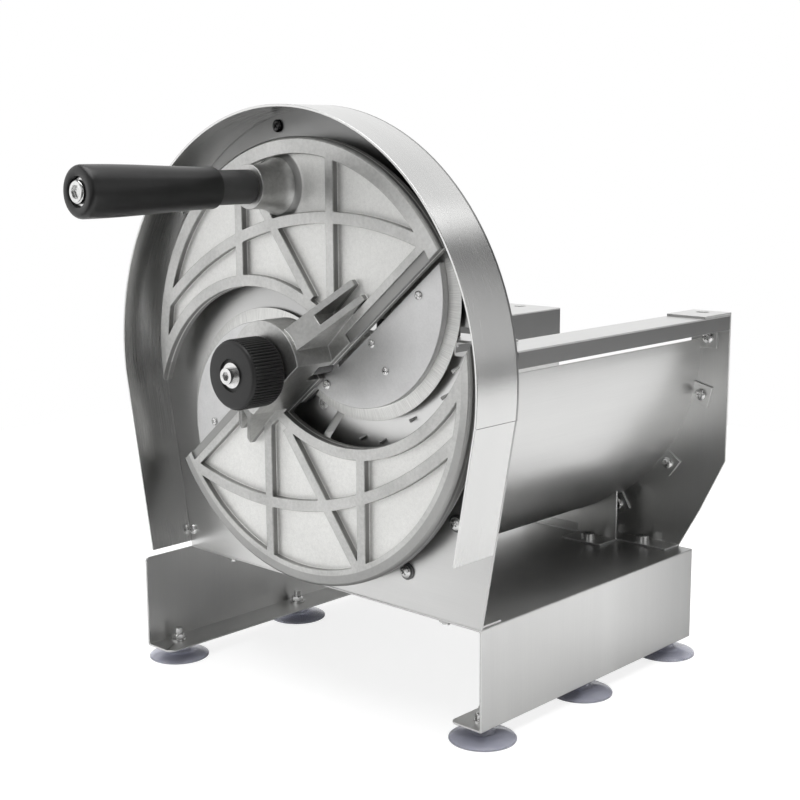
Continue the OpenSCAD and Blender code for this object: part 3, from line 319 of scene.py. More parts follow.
def cast_disc(name):
    f = Finish(name, Metallic=1.0, IOR=2.0)
    x, y, z = f.axes()
    depth = PANEL_Y - y
    raised = ((depth - (DISC_FRONT - POCKET * 0.45)) * (1 / (0.6 * MM))).clamp()
    above_floor = ((depth - (DISC_FRONT - POCKET + 0.3 * MM)) * (1 / (0.3 * MM))).clamp()
    # Painted shade: the ribs' walls and the disc's outer side are darkened by depth.
    wall = above_floor * ((DISC_FRONT - 0.6 * MM - depth) * (1 / (0.4 * MM))).clamp()
    side = ((DISC_FRONT - POCKET - 0.6 * MM - depth) * (1 / (0.3 * MM))).clamp()
    # Painted shade: the rim past RIM_FROM from the hub is darkened, more towards the bottom.
    reach = (x * x + (z - HUB.z) * (z - HUB.z)).root()
    rim = ((reach - RIM_FROM) * (1 / (0.5 * MM))).clamp()
    rim = rim * ((HUB.z + RIM_TOP - z) * (1 / RIM_SHADE_SPAN)).clamp()
    grain = f.noise(f.where, 1500.0, 2.0, 0.7)
    pits = f.noise(f.where, 420.0, 3.0, 0.65)
    cloud = f.noise(f.where, 26.0, 3.0, 0.6)
    skin = (grain * 0.55 + pits * 0.45)
    # Floors are set lighter than ribs: partly the blasted skin's own lighter colour, partly painted light, since
    # a matt floor gathers more light than a smooth rib mirrors.
    floor_tone = (skin * 0.5 + cloud * 0.2 + 0.42).clamp()
    rib_tone = (cloud * 0.5 + pits * 0.35 - 0.1).clamp()
    tone = (floor_tone + (rib_tone - floor_tone) * raised) * (1 - wall * 0.85) * (1 - side * 0.8)
    tone = tone * (1 - rim * 0.7)
    f.give(Base_Color=f.between(tone, (0.27, 0.27, 0.265), (0.97, 0.97, 0.95)),
           Roughness=(0.5 - raised * 0.17 + skin * 0.1).clamp())
    f.bump(skin * (1 - raised * 0.8), 6e-5)
    return f.material


def cast_plain(name, light=0.62, rough=0.42):
    f = Finish(name, Metallic=1.0, IOR=2.0)
    grain = f.noise(f.where, 900.0, 3.0, 0.65)
    cloud = f.noise(f.where, 40.0, 3.0, 0.6)
    tone = (grain * 0.5 + cloud * 0.6).clamp()
    f.give(Base_Color=f.between(tone, (light * 0.72,) * 3, (light * 1.2,) * 3),
           Roughness=(rough + grain * 0.16 - 0.08).clamp())
    f.bump(grain, 4e-5)
    return f.material


casting = cast_disc("cast_disc")
carrier_casting = cast_plain("cast_carrier")
print("castings made")

# %% [markdown]
# ## Small metals, plastics and the cups
# Screws are plated and bright, with slightly uneven gloss from handling. The one at the top of the arch is
# dark, so the panel screws' finish turns dark above a height. The bushes are bronze. The grip is satin black
# plastic with a fine moulded grain, its sleeve a little greyer, and the knob duller. The cups are clear soft
# plastic with a cool tint, and a painted highlight makes their lips lighter.


# %% Small finishes
def plain_metal(name, dark, light, rough, grain=500.0, dark_above=None):
    f = Finish(name, Metallic=1.0, IOR=2.5)
    wear = f.noise(f.where, grain, 3.0, 0.6)
    cloud = f.noise(f.where, grain / 9, 2.0, 0.5)
    colour = f.between((wear * 0.6 + cloud * 0.5).clamp(), dark, light)
    if dark_above is not None:
        colour = f.between(f.axes()[2] > dark_above, colour, PAINTED_SHADE_AND_BLACK_HEAD)
    f.give(Base_Color=colour, Roughness=(rough + wear * 0.14 - 0.05).clamp())
    f.bump(wear, 1.5e-5)
    return f.material


def black_plastic(name, rough, grain, depth, low=0.006, high=0.02):
    f = Finish(name, Specular_IOR_Level=0.5, IOR=1.49)
    skin = f.noise(f.where, grain, 2.0, 0.6)
    cloud = f.noise(f.where, 60.0, 3.0, 0.6)
    f.give(Base_Color=f.between(cloud, (low,) * 3, (high,) * 3),
           Roughness=(rough + skin * 0.1 + cloud * 0.08 - 0.09).clamp())
    f.bump(skin, depth)
    return f.material


def clear_plastic(name):
    f = Finish(name, Transmission_Weight=0.75, IOR=1.45)
    cloud = f.noise(f.where, 90.0, 3.0, 0.6)
    x, y, z = f.axes()
    # Painted highlight: the lip is lighter over its lowest 3 mm.
    rim = (1 - z * (1 / (3.0 * MM))).clamp()
    f.give(Base_Color=f.between((cloud * 0.6 + rim * 0.5).clamp(), (0.62, 0.63, 0.74), (0.86, 0.87, 0.95)),
           Roughness=(0.07 + cloud * 0.12).clamp())
    f.bump(cloud, 8e-5)
    return f.material


PLATING = ((0.5, 0.5, 0.5), (0.86, 0.86, 0.85), 0.2)
ARCH_SCREW = 120.0 * MM
bright = plain_metal("bright_plating", *PLATING)
panel_plating = plain_metal("panel_plating", *PLATING, dark_above=HUB.z + ARCH_SCREW)
dark = plain_metal("dark_steel", (0.05, 0.05, 0.05), (0.22, 0.22, 0.22), 0.34)
bronze = plain_metal("bearing_bronze", (0.38, 0.24, 0.1), (0.66, 0.46, 0.24), 0.36)
satin_black = black_plastic("satin_black", 0.36, 1400.0, 1.5e-5)
knob_black = black_plastic("knob_black", 0.48, 900.0, 3e-5)
sleeve_grey = black_plastic("sleeve_grey", 0.42, 1400.0, 1.5e-5, 0.03, 0.06)
cup_clear = clear_plastic("cup_clear")
PLAIN = {"steel_sheet": sheet_z_lines, "cast_aluminium": carrier_casting, "blade_steel": bright,
         "bright_fasteners": bright, "dark_steel": dark, "bronze": bronze, "clear_cup": cup_clear,
         "black_plastic": satin_black, "knob_plastic": knob_black}
print("small finishes:", len(PLAIN))

# %% [markdown]
# ## A first finish for every node
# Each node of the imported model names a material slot. Every one gets that slot's finish first, so a node that
# isn't remade below still looks right. The washers under the trough's front screws are dark.


# %% Give every node a first finish
def paint(obj, material):
    """Leaves one material on an object."""
    obj.data.materials.clear()
    obj.data.materials.append(material)


for name, obj in NODES.items():
    paint(obj, dark if name == "trough_front_washers" else PLAIN[SLOT_OF[name]])
print("every node has a finish")

# %% [markdown]
# ## Rounded edges
# A real edge is never perfectly sharp: it catches a thin line of light. The model's triangles come in loose,
# so a copy is merged first, flat regions are joined into single faces, and a small bevel rounds what is left.
# The bevel's own faces are told apart by a material number. Every other face keeps its true normals, and the
# bevel's faces borrow theirs from the faces beside them, so flats stay flat and only the edge curves.


# %% Copy a node and hand over a piece
SAME_PLACE = 0.002 * MM


def merged_copy(node, weld, dissolve=0.3):
    mesh = NODES[node].data.copy()
    if "custom_normal" in mesh.attributes:
        mesh.attributes.remove(mesh.attributes["custom_normal"])
    bm = bmesh.new()
    bm.from_mesh(mesh)
    bmesh.ops.remove_doubles(bm, verts=bm.verts, dist=SAME_PLACE)
    bmesh.ops.dissolve_limit(bm, angle_limit=math.radians(dissolve), verts=bm.verts, edges=bm.edges)
    if weld > SAME_PLACE:
        bmesh.ops.remove_doubles(bm, verts=bm.verts, dist=weld)
        bmesh.ops.dissolve_degenerate(bm, dist=weld / 2, edges=bm.edges)
    bmesh.ops.recalc_face_normals(bm, faces=bm.faces)
    bm.to_mesh(mesh)
    bm.free()
    return mesh


def finish_piece(name, mesh, node_names, material, body=None, sharp=40.0):
    obj = bpy.data.objects.new(name, mesh)
    bpy.context.scene.collection.objects.link(obj)
    if sharp:
        for p in mesh.polygons:
            p.use_smooth = True
        mesh.set_sharp_from_angle(angle=math.radians(sharp))
    paint(obj, material)
    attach(obj, body or BODY_OF[node_names[0]])
    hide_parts(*node_names)
    return obj


print("nodes can be copied")


# %% Normals of a rounded edge
def share_normals(mesh, soft=30.0):
    """Own normals for the first faces, borrowed ones for the bevel's faces (material number 1)."""
    bm = bmesh.new()
    bm.from_mesh(mesh)
    bm.normal_update()
    bm.verts.ensure_lookup_table()
    limit = math.cos(math.radians(soft))
    area = [f.calc_area() for f in bm.faces]
    at_vertex = {}
    for v in bm.verts:
        own = [f for f in v.link_faces if f.material_index == 0 and area[f.index] > 1e-12]
        blend = Vector()
        for f in v.link_faces:
            blend += f.normal * area[f.index]
        groups = {}
        for f in own:
            total = Vector()
            for g in own:
                if f.normal.dot(g.normal) > limit:
                    total += g.normal * area[g.index]
            groups[f.index] = total.normalized()
        for f in v.link_faces:
            if f.index in groups:
                n = groups[f.index]
            elif groups:
                n = max(groups.values(), key=lambda g: g.dot(f.normal))
            else:
                n = blend.normalized()
            at_vertex[f.index, v.index] = n if n.length > 0.5 else f.normal
    normals = [None] * len(mesh.loops)
    for p in mesh.polygons:
        p.use_smooth = True
        p.material_index = 0
        for k, v in zip(p.loop_indices, p.vertices):
            normals[k] = at_vertex[p.index, v]
    bm.free()
    mesh.normals_split_custom_set(normals)


print("normals can be shared")


# %% Round the edges of a node
def rounded(node, width, material, segments=2, angle=32.0, weld=SAME_PLACE, soft=30.0):
    source = bpy.data.objects.new("source", merged_copy(node, weld))
    bpy.context.scene.collection.objects.link(source)
    paint(source, material)
    source.data.materials.append(material)
    for p in source.data.polygons:
        p.material_index = 0
    bevel = source.modifiers.new("edge", "BEVEL")
    bevel.width, bevel.segments, bevel.material = width, segments, 1
    bevel.limit_method, bevel.angle_limit = "ANGLE", math.radians(angle)
    bevel.use_clamp_overlap = False
    bevel.miter_outer = "MITER_ARC"
    graph = bpy.context.evaluated_depsgraph_get()
    mesh = bpy.data.meshes.new_from_object(source.evaluated_get(graph))
    bpy.data.objects.remove(source)
    mesh.name = node + "_rounded"
    share_normals(mesh, soft)
    return finish_piece(node + "_rounded", mesh, [node], material, sharp=0)


print("edges can be rounded")

# %% [markdown]
# ## What gets rounded edges
# The sheets, castings and bars are remade with rounded edges, each with its own finish. Sheets and castings get
# 0.3 to 0.7 mm. The blades are ground sharp, so they get far less.

# %% Round the sheets, castings and bars
ROUNDED = {  # node: width of the rounded edge in millimetres, finish
    "base_plate": (0.7, base_sheet), "front_panel": (0.3, panel_sheet), "guard_band": (0.35, band_steel),
    "trough": (0.3, sheet_y_lines), "trough_saddle": (0.3, sheet_z_lines), "end_plate": (0.3, sheet_z_lines),
    "near_rail": (0.4, rail_sheets["near_rail"]), "far_rail": (0.4, rail_sheets["far_rail"]),
    "bearing_housing": (0.4, carrier_casting), "thickness_plate": (0.45, casting),
    "blade_carrier": (0.5, carrier_casting),
    "spindle": (0.3, dark), "spindle_collar": (0.4, dark), "guide_pins": (0.4, dark),
    "handle_sleeve": (0.6, sleeve_grey), "handle_bolt": (0.4, bright), "handle_washer": (0.15, bright),
    "pusher_plate": (0.3, sheet_y_lines), "pusher_bridge": (0.3, sheet_y_lines),
    "pusher_handle": (0.8, satin_black), "pusher_spikes": (0.12, sheet_x_lines),
}
WELD = {"thickness_plate": 0.15 * MM, "guard_band": 0.12 * MM}
for node, (width, material) in ROUNDED.items():
    made = rounded(node, width * MM, material, weld=WELD.get(node, SAME_PLACE))
    print(node, len(made.data.polygons))
for node, side in (("right_blade", 1), ("left_blade", -1)):
    made = rounded(node, 0.08 * MM, blade_steel("blade_steel_" + node, side), angle=20.0, soft=6.0)
    print(node, len(made.data.polygons))

# %% [markdown]
# ## Turned parts
# The grip, the knob and the cups are round about an axis. A lathe in code is a profile of radius and length
# pairs, swept in small steps. The first and last points sit on the axis, or in one place where there is a bore,
# so the shape closes itself.


# %% Lathe
def lathe(bm, profile, steps, middle, along, side):
    """Sweeps (radius, length) pairs about an axis; radii of 0 close the ends."""
    along, side = along.normalized(), side.normalized()
    other = along.cross(side)
    rings = []
    for r, l in profile:
        centre = middle + along * l
        if r <= 0:
            rings.append([bm.verts.new(centre)])
            continue
        ring = []
        for i in range(steps):
            a = 2 * math.pi * i / steps
            ring.append(bm.verts.new(centre + (side * math.cos(a) + other * math.sin(a)) * r))
        rings.append(ring)
    for one, two in zip(rings, rings[1:]):
        for i in range(steps):
            k = (i + 1) % steps
            corners = [one[i % len(one)], one[k % len(one)], two[k % len(two)], two[i % len(two)]]
            corners = list(dict.fromkeys(corners))
            if len(corners) > 2:
                bm.faces.new(corners)


def close_mesh(bm, name):
    bmesh.ops.remove_doubles(bm, verts=bm.verts, dist=1e-7)
    bmesh.ops.recalc_face_normals(bm, faces=bm.faces)
    mesh = bpy.data.meshes.new(name)
    bm.to_mesh(mesh)
    bm.free()
    return mesh


FRONTWARD, UPWARD = Vector((0, -1, 0)), Vector((0, 0, 1))


def corner(r0, l0, r1, l1, steps=5):
    """Points of a quarter round from (r0, l0) to (r1, l1), bulging outwards."""
    return [(r1 + (r0 - r1) * math.cos(t), l0 + (l1 - l0) * math.sin(t))
            for t in (math.pi / 2 * i / steps for i in range(steps + 1))]


print("lathe is ready")

# %% [markdown]
# ## The grip
# The grip is a hollow plastic barrel, slimmer at the sleeve and fuller at its free end, where a bright bolt
# and washer sit in a shallow dish. The swell is a smooth curve, so its profile is sampled finely.

# %% Grip
low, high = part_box("grip")
grip_middle = Vector(((low.x + high.x) / 2, high.y, (low.z + high.z) / 2))
grip_length, grip_big = high.y - low.y, (high.x - low.x) / 2
grip_small, grip_bore = 12.0 * MM, 4.2 * MM
swell = [(grip_small + (grip_big - grip_small) * (0.5 - 0.5 * math.cos(math.pi * min(1, s / 0.92))) ** 0.9,
          grip_length * s) for s in (0.03 + 0.89 * i / 24 for i in range(25))]
profile = [(grip_bore, 0), (grip_small - 1.0 * MM, 0)] + corner(grip_small, 0.0, grip_small, 1.0 * MM)[1:2]
profile += swell
profile += corner(grip_big, grip_length - 3.2 * MM, grip_big - 3.2 * MM, grip_length)
profile += [(8.7 * MM, grip_length), (8.25 * MM, grip_length - 0.35 * MM), (8.1 * MM, grip_length - 0.9 * MM),
            (8.1 * MM, grip_length - 3.8 * MM), (grip_bore, grip_length - 3.8 * MM), (grip_bore, 0)]
bm = bmesh.new()
lathe(bm, profile, 96, grip_middle, FRONTWARD, UPWARD)
grip = finish_piece("grip_barrel", close_mesh(bm, "grip_barrel"), ["grip"], satin_black, sharp=50.0)
print("grip", len(grip.data.polygons), "faces")

# %% [markdown]
# ## Repeats with Geometry Nodes
# Screws, nuts, cups and the knob's ridges are one shape set down many times. A small tree does this: it takes
# points that carry a size and a turn, puts the shape on each, makes the copies real and gives them their
# material. The tree's inputs have names, and are set by their identifiers before anything is evaluated.


# %% Scatter tree
def scatter_tree():
    tree = bpy.data.node_groups.new("set_down_copies", "GeometryNodeTree")
    face = tree.interface
    for name, kind in (("Points", "NodeSocketGeometry"), ("Shape", "NodeSocketObject"),
                       ("Finish", "NodeSocketMaterial"), ("Size factor", "NodeSocketFloat")):
        face.new_socket(name, in_out="INPUT", socket_type=kind)
    face.new_socket("Geometry", in_out="OUTPUT", socket_type="NodeSocketGeometry")
    new, link = tree.nodes.new, tree.links.new
    start, end = new("NodeGroupInput"), new("NodeGroupOutput")
    shape, put = new("GeometryNodeObjectInfo"), new("GeometryNodeInstanceOnPoints")
    size, turn_by = new("GeometryNodeInputNamedAttribute"), new("GeometryNodeInputNamedAttribute")
    size.data_type, turn_by.data_type = "FLOAT", "FLOAT_VECTOR"
    size.inputs["Name"].default_value, turn_by.inputs["Name"].default_value = "size", "turn"
    grow = new("ShaderNodeMath")
    grow.operation = "MULTIPLY"
    real, dress = new("GeometryNodeRealizeInstances"), new("GeometryNodeSetMaterial")
    as_turn = new("FunctionNodeEulerToRotation")
    link(start.outputs["Points"], put.inputs["Points"])
    link(start.outputs["Shape"], shape.inputs["Object"])
    link(shape.outputs["Geometry"], put.inputs["Instance"])
    link(turn_by.outputs["Attribute"], as_turn.inputs[0])
    link(as_turn.outputs[0], put.inputs["Rotation"])
    link(size.outputs["Attribute"], grow.inputs[0])
    link(start.outputs["Size factor"], grow.inputs[1])
    link(grow.outputs[0], put.inputs["Scale"])
    link(put.outputs["Instances"], real.inputs["Geometry"])
    link(real.outputs["Geometry"], dress.inputs["Geometry"])
    link(start.outputs["Finish"], dress.inputs["Material"])
    link(dress.outputs["Geometry"], end.inputs[0])
    return tree


SCATTER = scatter_tree()
print("tree", SCATTER.name, "nodes", len(SCATTER.nodes))


# %% Set copies down
def set_down(name, shape_mesh, spots, node_names, material, factor=1.0, sharp=38.0):
    """spots: (place, size, turn) triples. Returns one finished piece that replaces the nodes."""
    points = bpy.data.meshes.new(name)
    points.from_pydata([tuple(p) for p, _, _ in spots], [], [])
    points.attributes.new("size", "FLOAT", "POINT").data.foreach_set("value", [s for _, s, _ in spots])
    turns = [c for _, _, t in spots for c in t]
    points.attributes.new("turn", "FLOAT_VECTOR", "POINT").data.foreach_set("vector", turns)
    holder = bpy.data.objects.new(name + "_points", points)
    shape = bpy.data.objects.new(name + "_shape", shape_mesh)
    for o in (holder, shape):
        bpy.context.scene.collection.objects.link(o)
    step = holder.modifiers.new("copies", "NODES")
    step.node_group = SCATTER
    values = {"Shape": shape, "Finish": material, "Size factor": factor}
    for item in SCATTER.interface.items_tree:
        if item.in_out == "INPUT" and item.name in values:
            step[item.identifier] = values[item.name]
    holder.update_tag()
    graph = bpy.context.evaluated_depsgraph_get()
    mesh = bpy.data.meshes.new_from_object(holder.evaluated_get(graph))
    holder.modifiers.remove(step)
    bpy.data.objects.remove(holder)
    bpy.data.objects.remove(shape)
    mesh.name = name
    return finish_piece(name, mesh, node_names, material, sharp=sharp)


print("copies can be set down")


# %% Where the model has each fastener
def solids_of(node):
    """(lowest, highest) corner of every separate solid in a node."""
    bm = bmesh.new()
    bm.from_mesh(NODES[node].data)
    bmesh.ops.remove_doubles(bm, verts=bm.verts, dist=SAME_PLACE)
    seen, found = set(), []
    for v in bm.verts:
        if v.index in seen:
            continue
        group, todo = [], [v]
        seen.add(v.index)
        while todo:
            w = todo.pop()
            group.append(w.co)
            for e in w.link_edges:
                o = e.other_vert(w)
                if o.index not in seen:
                    seen.add(o.index)
                    todo.append(o)
        found.append((Vector([min(c[i] for c in group) for i in range(3)]),
                      Vector([max(c[i] for c in group) for i in range(3)])))
    bm.free()
    return found


print("panel screws:", len(solids_of("panel_screws")))

# %% [markdown]
# ## Screws and nuts
# The heads have a low dome, a rounded rim and a cross recess cut with a boolean. The shanks end in a few
# turns of thread, drawn as closed rings, which is all that shows behind a nut. Each shape is made once, along
# the Y axis with its seat at zero, and set down wherever the model has that fastener.


# %% Screw shape
def screw_shape(head_r, head_h, shank_r, shank_l, thread_l, pitch=0.7 * MM):
    bm = bmesh.new()
    dome = [(0, head_h)] + [(head_r * 0.86 * math.sin(t), head_h * (0.62 + 0.38 * math.cos(t)))
                            for t in (math.pi / 2 * i / 6 for i in range(1, 7))]
    rim = [(head_r * 0.97, head_h * 0.52), (head_r, head_h * 0.34), (head_r, head_h * 0.08),
           (head_r * 0.97, 0.0), (shank_r, 0.0)]
    shank = [(shank_r, -(shank_l - thread_l))]
    turns = int(thread_l / pitch) - 1
    for i in range(turns):
        l = -(shank_l - thread_l) - pitch * (i + 0.5)
        shank += [(shank_r * 0.86, l), (shank_r, l - pitch * 0.5)]
    profile = dome + rim + shank + [(shank_r * 0.8, -shank_l), (0, -shank_l)]
    lathe(bm, profile, 32, Vector(), FRONTWARD, UPWARD)
    mesh = close_mesh(bm, "screw_shape")
    body = bpy.data.objects.new("screw_body", mesh)
    cutter = bmesh.new()
    for turn_z in (0, math.pi / 2):
        bar = bmesh.ops.create_cube(cutter, size=1.0)["verts"]
        bmesh.ops.scale(cutter, vec=(head_r * 1.05, head_h * 1.1, head_r * 0.24), verts=bar)
        bmesh.ops.translate(cutter, vec=(0, -head_h, 0), verts=bar)
        bmesh.ops.rotate(cutter, cent=(0, 0, 0), matrix=Matrix.Rotation(turn_z, 3, "Y"), verts=bar)
    cut_mesh = bpy.data.meshes.new("cross")
    cutter.to_mesh(cut_mesh)
    cutter.free()
    knife = bpy.data.objects.new("cross", cut_mesh)
    for o in (body, knife):
        bpy.context.scene.collection.objects.link(o)
    boolean = body.modifiers.new("recess", "BOOLEAN")
    boolean.object, boolean.operation, boolean.solver = knife, "DIFFERENCE", "EXACT"
    boolean.use_self = True
    soft = body.modifiers.new("edge", "BEVEL")
    soft.width, soft.segments, soft.angle_limit = head_r * 0.035, 1, math.radians(35)
    graph = bpy.context.evaluated_depsgraph_get()
    result = bpy.data.meshes.new_from_object(body.evaluated_get(graph))
    for o in (body, knife):
        bpy.data.objects.remove(o)
    return result


print("screws can be made")


# %% Nut shape
def nut_shape(r, h, bore):
    """A hexagon with chamfered corners, its seat at zero and its body along +Y."""
    bm = bmesh.new()
    steps, chamfer = 48, 0.14 * h
    flat = r * math.cos(math.pi / 6)

    def ring(l, limit):
        out = []
        for i in range(steps):
            a = 2 * math.pi * i / steps
            hexa = flat / math.cos((a + math.pi / 6) % (math.pi / 3) - math.pi / 6)
            q = min(hexa, limit)
            out.append(bm.verts.new((q * math.sin(a), l, q * math.cos(a))))
        return out

    def bore_ring(l, q):
        return [bm.verts.new((q * math.sin(2 * math.pi * i / steps), l, q * math.cos(2 * math.pi * i / steps)))
                for i in range(steps)]

    rings = [bore_ring(0, bore * 1.02), ring(0, flat * 0.98), ring(chamfer, r), ring(h - chamfer, r),
             ring(h, flat * 0.98), bore_ring(h, bore * 1.15), bore_ring(h - chamfer, bore * 0.98)]
    rings.append(rings[0])
    for one, two in zip(rings, rings[1:]):
        for i in range(steps):
            k = (i + 1) % steps
            bm.faces.new((one[i], one[k], two[k], two[i]))
    return close_mesh(bm, "nut_shape")


print("nuts can be made")


# %% Screws
def middle_of(low, high):
    return (low + high) / 2


def screws_along_y(name, node, head_h, shank_share, twist, thread_l=5 * MM, material=bright):
    solids = solids_of(node)
    biggest = max(h.x - l.x for l, h in solids) / 2
    length = max(h.y - l.y for l, h in solids)
    shape = screw_shape(biggest, head_h, biggest * shank_share, length - head_h, thread_l)
    spots = []
    for i, (l, h) in enumerate(solids):
        size = (h.x - l.x) / 2 / biggest
        c = middle_of(l, h)
        spots.append(((c.x, l.y + head_h * size, c.z), size, (0.0, twist * (i + 1), 0.0)))
    return set_down(name, shape, spots, [node], material)


M4_SHARE = 2.0 / 3.9
made = [  # name, node, head's height, shank's share of the head's radius, turn from one screw to the next
    screws_along_y("panel_screw_set", "panel_screws", 2.6 * MM, M4_SHARE, 0.7, material=panel_plating),
    screws_along_y("trough_front_screw_set", "trough_front_screws", 2.6 * MM, M4_SHARE, 0.45),
    screws_along_y("trough_rear_screw_set", "trough_rear_screws", 2.6 * MM, M4_SHARE, 0.9),
    screws_along_y("blade_screw_set", "blade_screws", 1.1 * MM, 1.6 / 2.6, 0.5, 2 * MM),
    screws_along_y("carrier_screw_set", "carrier_screws", 1.3 * MM, 2.0 / 3.0, 0.4, 2 * MM),
]
print("screws:", [len(o.data.polygons) for o in made])


# %% Nuts
def nuts(name, node, along_y, bore_share, twist):
    solids = solids_of(node)
    l, h = solids[0]
    tall = (h.y - l.y) if along_y else (h.z - l.z)
    r = max(h.x - l.x, (h.z - l.z) if along_y else (h.y - l.y)) / 2
    biggest = max(max(q.x - p.x for p, q in solids) / 2, r)
    spots = []
    for i, (p, q) in enumerate(solids):
        c = middle_of(p, q)
        size = ((q.y - p.y) / tall) if along_y else 1.0
        if along_y:
            spots.append(((c.x, p.y, c.z), size, (0.0, twist * i, 0.0)))
        else:
            spots.append(((c.x, c.y, p.z), 1.0, (math.pi / 2, 0.0, twist * i)))
    return set_down(name, nut_shape(biggest * 0.985, tall, biggest * bore_share), spots, [node], bright)


made = [  # name, node, whether it lies along Y, bore's share of the radius, turn from one nut to the next
    nuts("panel_nut_set", "panel_nuts", True, 2.0 / 4.1, 0.0),
    nuts("trough_nut_set", "trough_nuts", True, 2.0 / 4.1, 0.0),
    nuts("base_nut_set", "base_nuts", False, 2.5 / 4.6, 0.0),
    nuts("cup_nut_set", "cup_nuts", False, 2.5 / 4.6, 0.5),
]
print("nuts:", [len(o.data.polygons) for o in made])

# %% [markdown]
# ## Suction cups
# Each cup is a thin clear dish with a thick neck, and its lip is thin and turned out. One profile is turned
# once and set down at the six places that the model gives.

# %% Cups
cup_solids = solids_of("suction_cups")
l, h = cup_solids[0]
cup_r, cup_top = (h.x - l.x) / 2, h.z - l.z
outside = [(cup_r, 0.0), (cup_r, 0.5 * MM), (cup_r * 0.985, 0.9 * MM)]
for i in range(28):
    s = i / 27
    outside.append((cup_r * (0.97 - 0.6 * s), (1.0 + 3.2 * s ** 0.8) * MM))
outside += [(cup_r * 0.34, 4.9 * MM), (cup_r * 0.31, 5.7 * MM), (cup_r * 0.285, 6.8 * MM),
            (cup_r * 0.275, 7.6 * MM), (cup_r * 0.275, cup_top - 0.3 * MM), (cup_r * 0.262, cup_top),
            (2.6 * MM, cup_top), (2.55 * MM, 4.2 * MM), (0, 4.1 * MM)]
inside = [(0, 3.0 * MM)] + [(cup_r * s, 3.0 * MM * (1 - s ** 2.2)) for s in (i / 16 for i in range(1, 15))]
inside += [(cup_r * 0.93, 0.25 * MM), (cup_r * 0.96, 0.0)]
bm = bmesh.new()
lathe(bm, inside + outside, 64, Vector(), UPWARD, Vector((1, 0, 0)))
cup_mesh = close_mesh(bm, "cup_shape")
spots = [((middle_of(p, q).x, middle_of(p, q).y, p.z), 1.0, (0.0, 0.0, 0.0)) for p, q in cup_solids]
cups = set_down("cup_set", cup_mesh, spots, ["suction_cups"], cup_clear, sharp=60.0)
print("cups", len(cups.data.polygons))

# %% [markdown]
# ## The knurled knob
# The knob is a black barrel with straight ridges, which the fingers grip. The barrel is turned, with rounded
# shoulders and a dished face; the ridges are one long rounded bar set down round it by the same tree.

# %% Knob
low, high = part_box("knob")
knob_r, knob_l = (high.x - low.x) / 2, high.y - low.y
knob_back = Vector((0, high.y, HUB.z))
RIDGES = 64
core = knob_r - 0.75 * MM
shoulder, knob_bore, bolt_bore = 2.0 * MM, 5.05 * MM, 3.05 * MM
profile = [(knob_bore, 0), (core - shoulder, 0)] + corner(core, shoulder, core - shoulder, 0.0)[::-1]
profile += corner(core, knob_l - shoulder, core - shoulder, knob_l)
profile += [(9.7 * MM, knob_l), (9.5 * MM, knob_l - 0.3 * MM), (9.5 * MM, knob_l - 1.2 * MM),
            (3.1 * MM, knob_l - 1.2 * MM), (bolt_bore, knob_l - 6 * MM), (knob_bore, knob_l - 6 * MM),
            (knob_bore, 0)]
bm = bmesh.new()
lathe(bm, profile, 128, knob_back, FRONTWARD, UPWARD)
barrel_mesh = close_mesh(bm, "knob_barrel")
knob = finish_piece("knob_barrel", barrel_mesh, ["knob"], knob_black, sharp=50.0)
ridge_r = math.pi * knob_r / RIDGES * 0.8
bm = bmesh.new()
ridge_l = knob_l - 2 * shoulder
lathe(bm, [(0, 0), (ridge_r * 0.5, 0.1 * MM), (ridge_r * 0.85, 0.5 * MM), (ridge_r, 1.1 * MM),
           (ridge_r, ridge_l - 1.1 * MM), (ridge_r * 0.85, ridge_l - 0.5 * MM),
           (ridge_r * 0.5, ridge_l - 0.1 * MM), (0, ridge_l)], 8, Vector(), FRONTWARD, UPWARD)
ridge_mesh = close_mesh(bm, "knob_ridge")
spots = []
for i in range(RIDGES):
    a = 2 * math.pi * i / RIDGES
    r = knob_r - ridge_r
    spots.append(((r * math.cos(a), knob_back.y - shoulder, HUB.z + r * math.sin(a)), 1.0, (0.0, 0.0, 0.0)))
ridges = set_down("knob_ridges", ridge_mesh, spots, ["knob"], knob_black, sharp=60.0)
print("knob", len(knob.data.polygons), "ridges", len(ridges.data.polygons))

# %% [markdown]
# ## The floor
# Steel shows what stands round it, so the light matters as much as the material. The object stands on a white
# table in a dark studio. The table's own shading is what the metal mirrors; the camera sees a second sheet a
# millimetre higher, which glows a little, so it stays white and keeps only faint shadows.

# %% Table and paper
TABLE = (-0.95, 1.3, -0.5, 1.6)


def flat_sheet(name, x0, x1, y0, y1, z, emission, light):
    mesh = bpy.data.meshes.new(name)
    mesh.from_pydata([(x0, y0, z), (x1, y0, z), (x1, y1, z), (x0, y1, z)], [], [(0, 1, 2, 3)])
    obj = bpy.data.objects.new(name, mesh)
    bpy.context.scene.collection.objects.link(obj)
    f = Finish(name, Roughness=0.9, Specular_IOR_Level=0.0, Emission_Strength=emission)
    f.give(Base_Color=f.between(f.noise(f.where, 3.0), (light * 0.97,) * 3, (light * 1.02,) * 3),
           Emission_Color=(1.0, 1.0, 1.0))
    paint(obj, f.material)
    return obj


table = flat_sheet("table", *TABLE, -1.0 * MM, 0.0, 0.86)
table.visible_camera = False
paper = flat_sheet("paper", -0.9, 0.9, -0.9, 0.9, 0.0, 0.8, 0.36)
paper.visible_glossy = paper.visible_diffuse = paper.visible_transmission = paper.visible_shadow = False
print("table and paper ready")

# %% [markdown]
# ## Soft boxes
# Lamps with a shape would have to be placed, hidden from the camera and kept clear of the crank. A box painted
# on the sky needs none of that. Each is a patch of directions, made as a product of three ramps, and the boxes
# are added up. Camera rays see a plain white sky in their place.

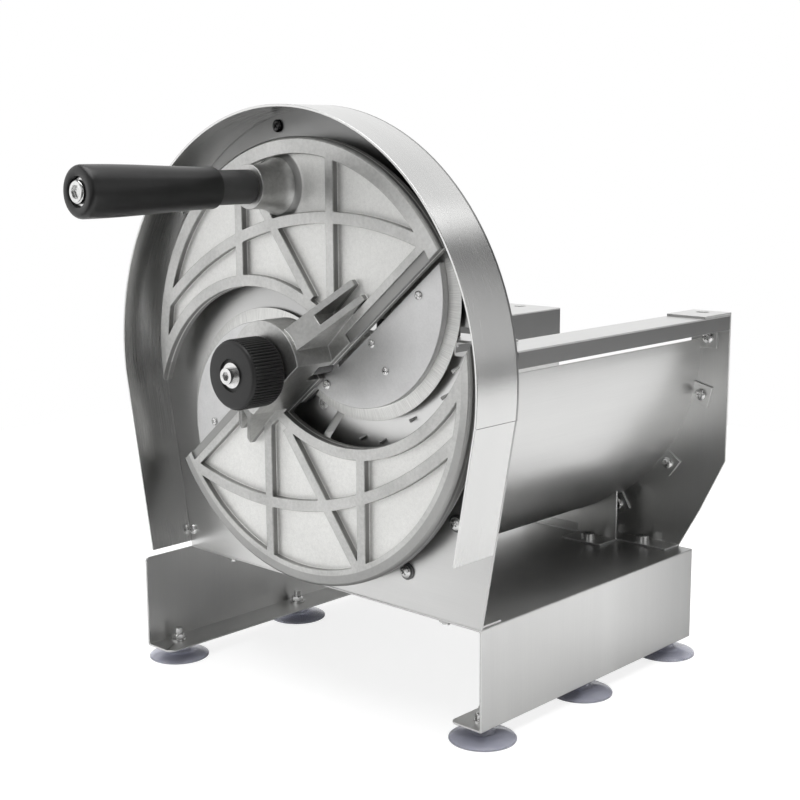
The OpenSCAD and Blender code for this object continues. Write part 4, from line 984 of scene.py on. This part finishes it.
# %% Soft boxes
BOXES = [  # light, middle and half width in degrees round from +X, lowest and highest in degrees, border
    (0.62, 16.0, 42.0, -3.0, 36.0, 4.0),
    (1.9, 68.0, 11.0, 33.0, 52.0, 5.0),
    (0.92, 128.0, 50.0, -3.0, 50.0, 6.0),
    (1.1, -145.0, 38.0, -26.0, 45.0, 8.0),
    (0.8, -82.0, 28.0, -8.0, 42.0, 12.0),
    (3.3, 0.0, 200.0, 54.0, 95.0, 8.0),
]
DARK_STUDIO = 0.09
world = bpy.data.worlds.new("studio")
bpy.context.scene.world = world
world.use_nodes = True
tree = world.node_tree
tree.nodes.clear()
way = Wire(tree, add_node(tree, "ShaderNodeTexCoord").outputs["Generated"])
split = add_node(tree, "ShaderNodeSeparateXYZ", inputs={0: way})
way_x, way_y, way_z = (Wire(tree, o) for o in split.outputs)


def soft_box(light, middle, half, low, high, border):
    """A patch of light on the sky, with soft sides."""
    c, s = math.cos(math.radians(middle)), math.sin(math.radians(middle))
    aside = (way_y * c - way_x * s).angle(way_x * c + way_y * s).absolute()
    height = way_z.rise()
    step = 1 / math.radians(border)
    across = ((math.radians(half) - aside) * step).clamp()
    above = ((height - math.radians(low)) * step).clamp()
    below = ((math.radians(high) - height) * step).clamp()
    return across * above * below * light


glow = sum((soft_box(*b) for b in BOXES), DARK_STUDIO)
WHITE = (1.0, 1.0, 1.0)
sky = add_node(tree, "ShaderNodeBackground", inputs={"Color": WHITE, "Strength": glow})
plain = add_node(tree, "ShaderNodeBackground", inputs={"Color": WHITE})
seen = Wire(tree, add_node(tree, "ShaderNodeLightPath").outputs["Is Camera Ray"])
pick = add_node(tree, "ShaderNodeMixShader", inputs={
    0: seen, 1: Wire(tree, sky.outputs[0]), 2: Wire(tree, plain.outputs[0])})
add_node(tree, "ShaderNodeOutputWorld", inputs={"Surface": Wire(tree, pick.outputs[0])})
bpy.context.scene.view_settings.view_transform = "Standard"
print("soft boxes:", len(BOXES))

# %% [markdown]
# ## Finish
# The view layer is brought up to date once more.

# %% Finish
bpy.context.view_layer.update()
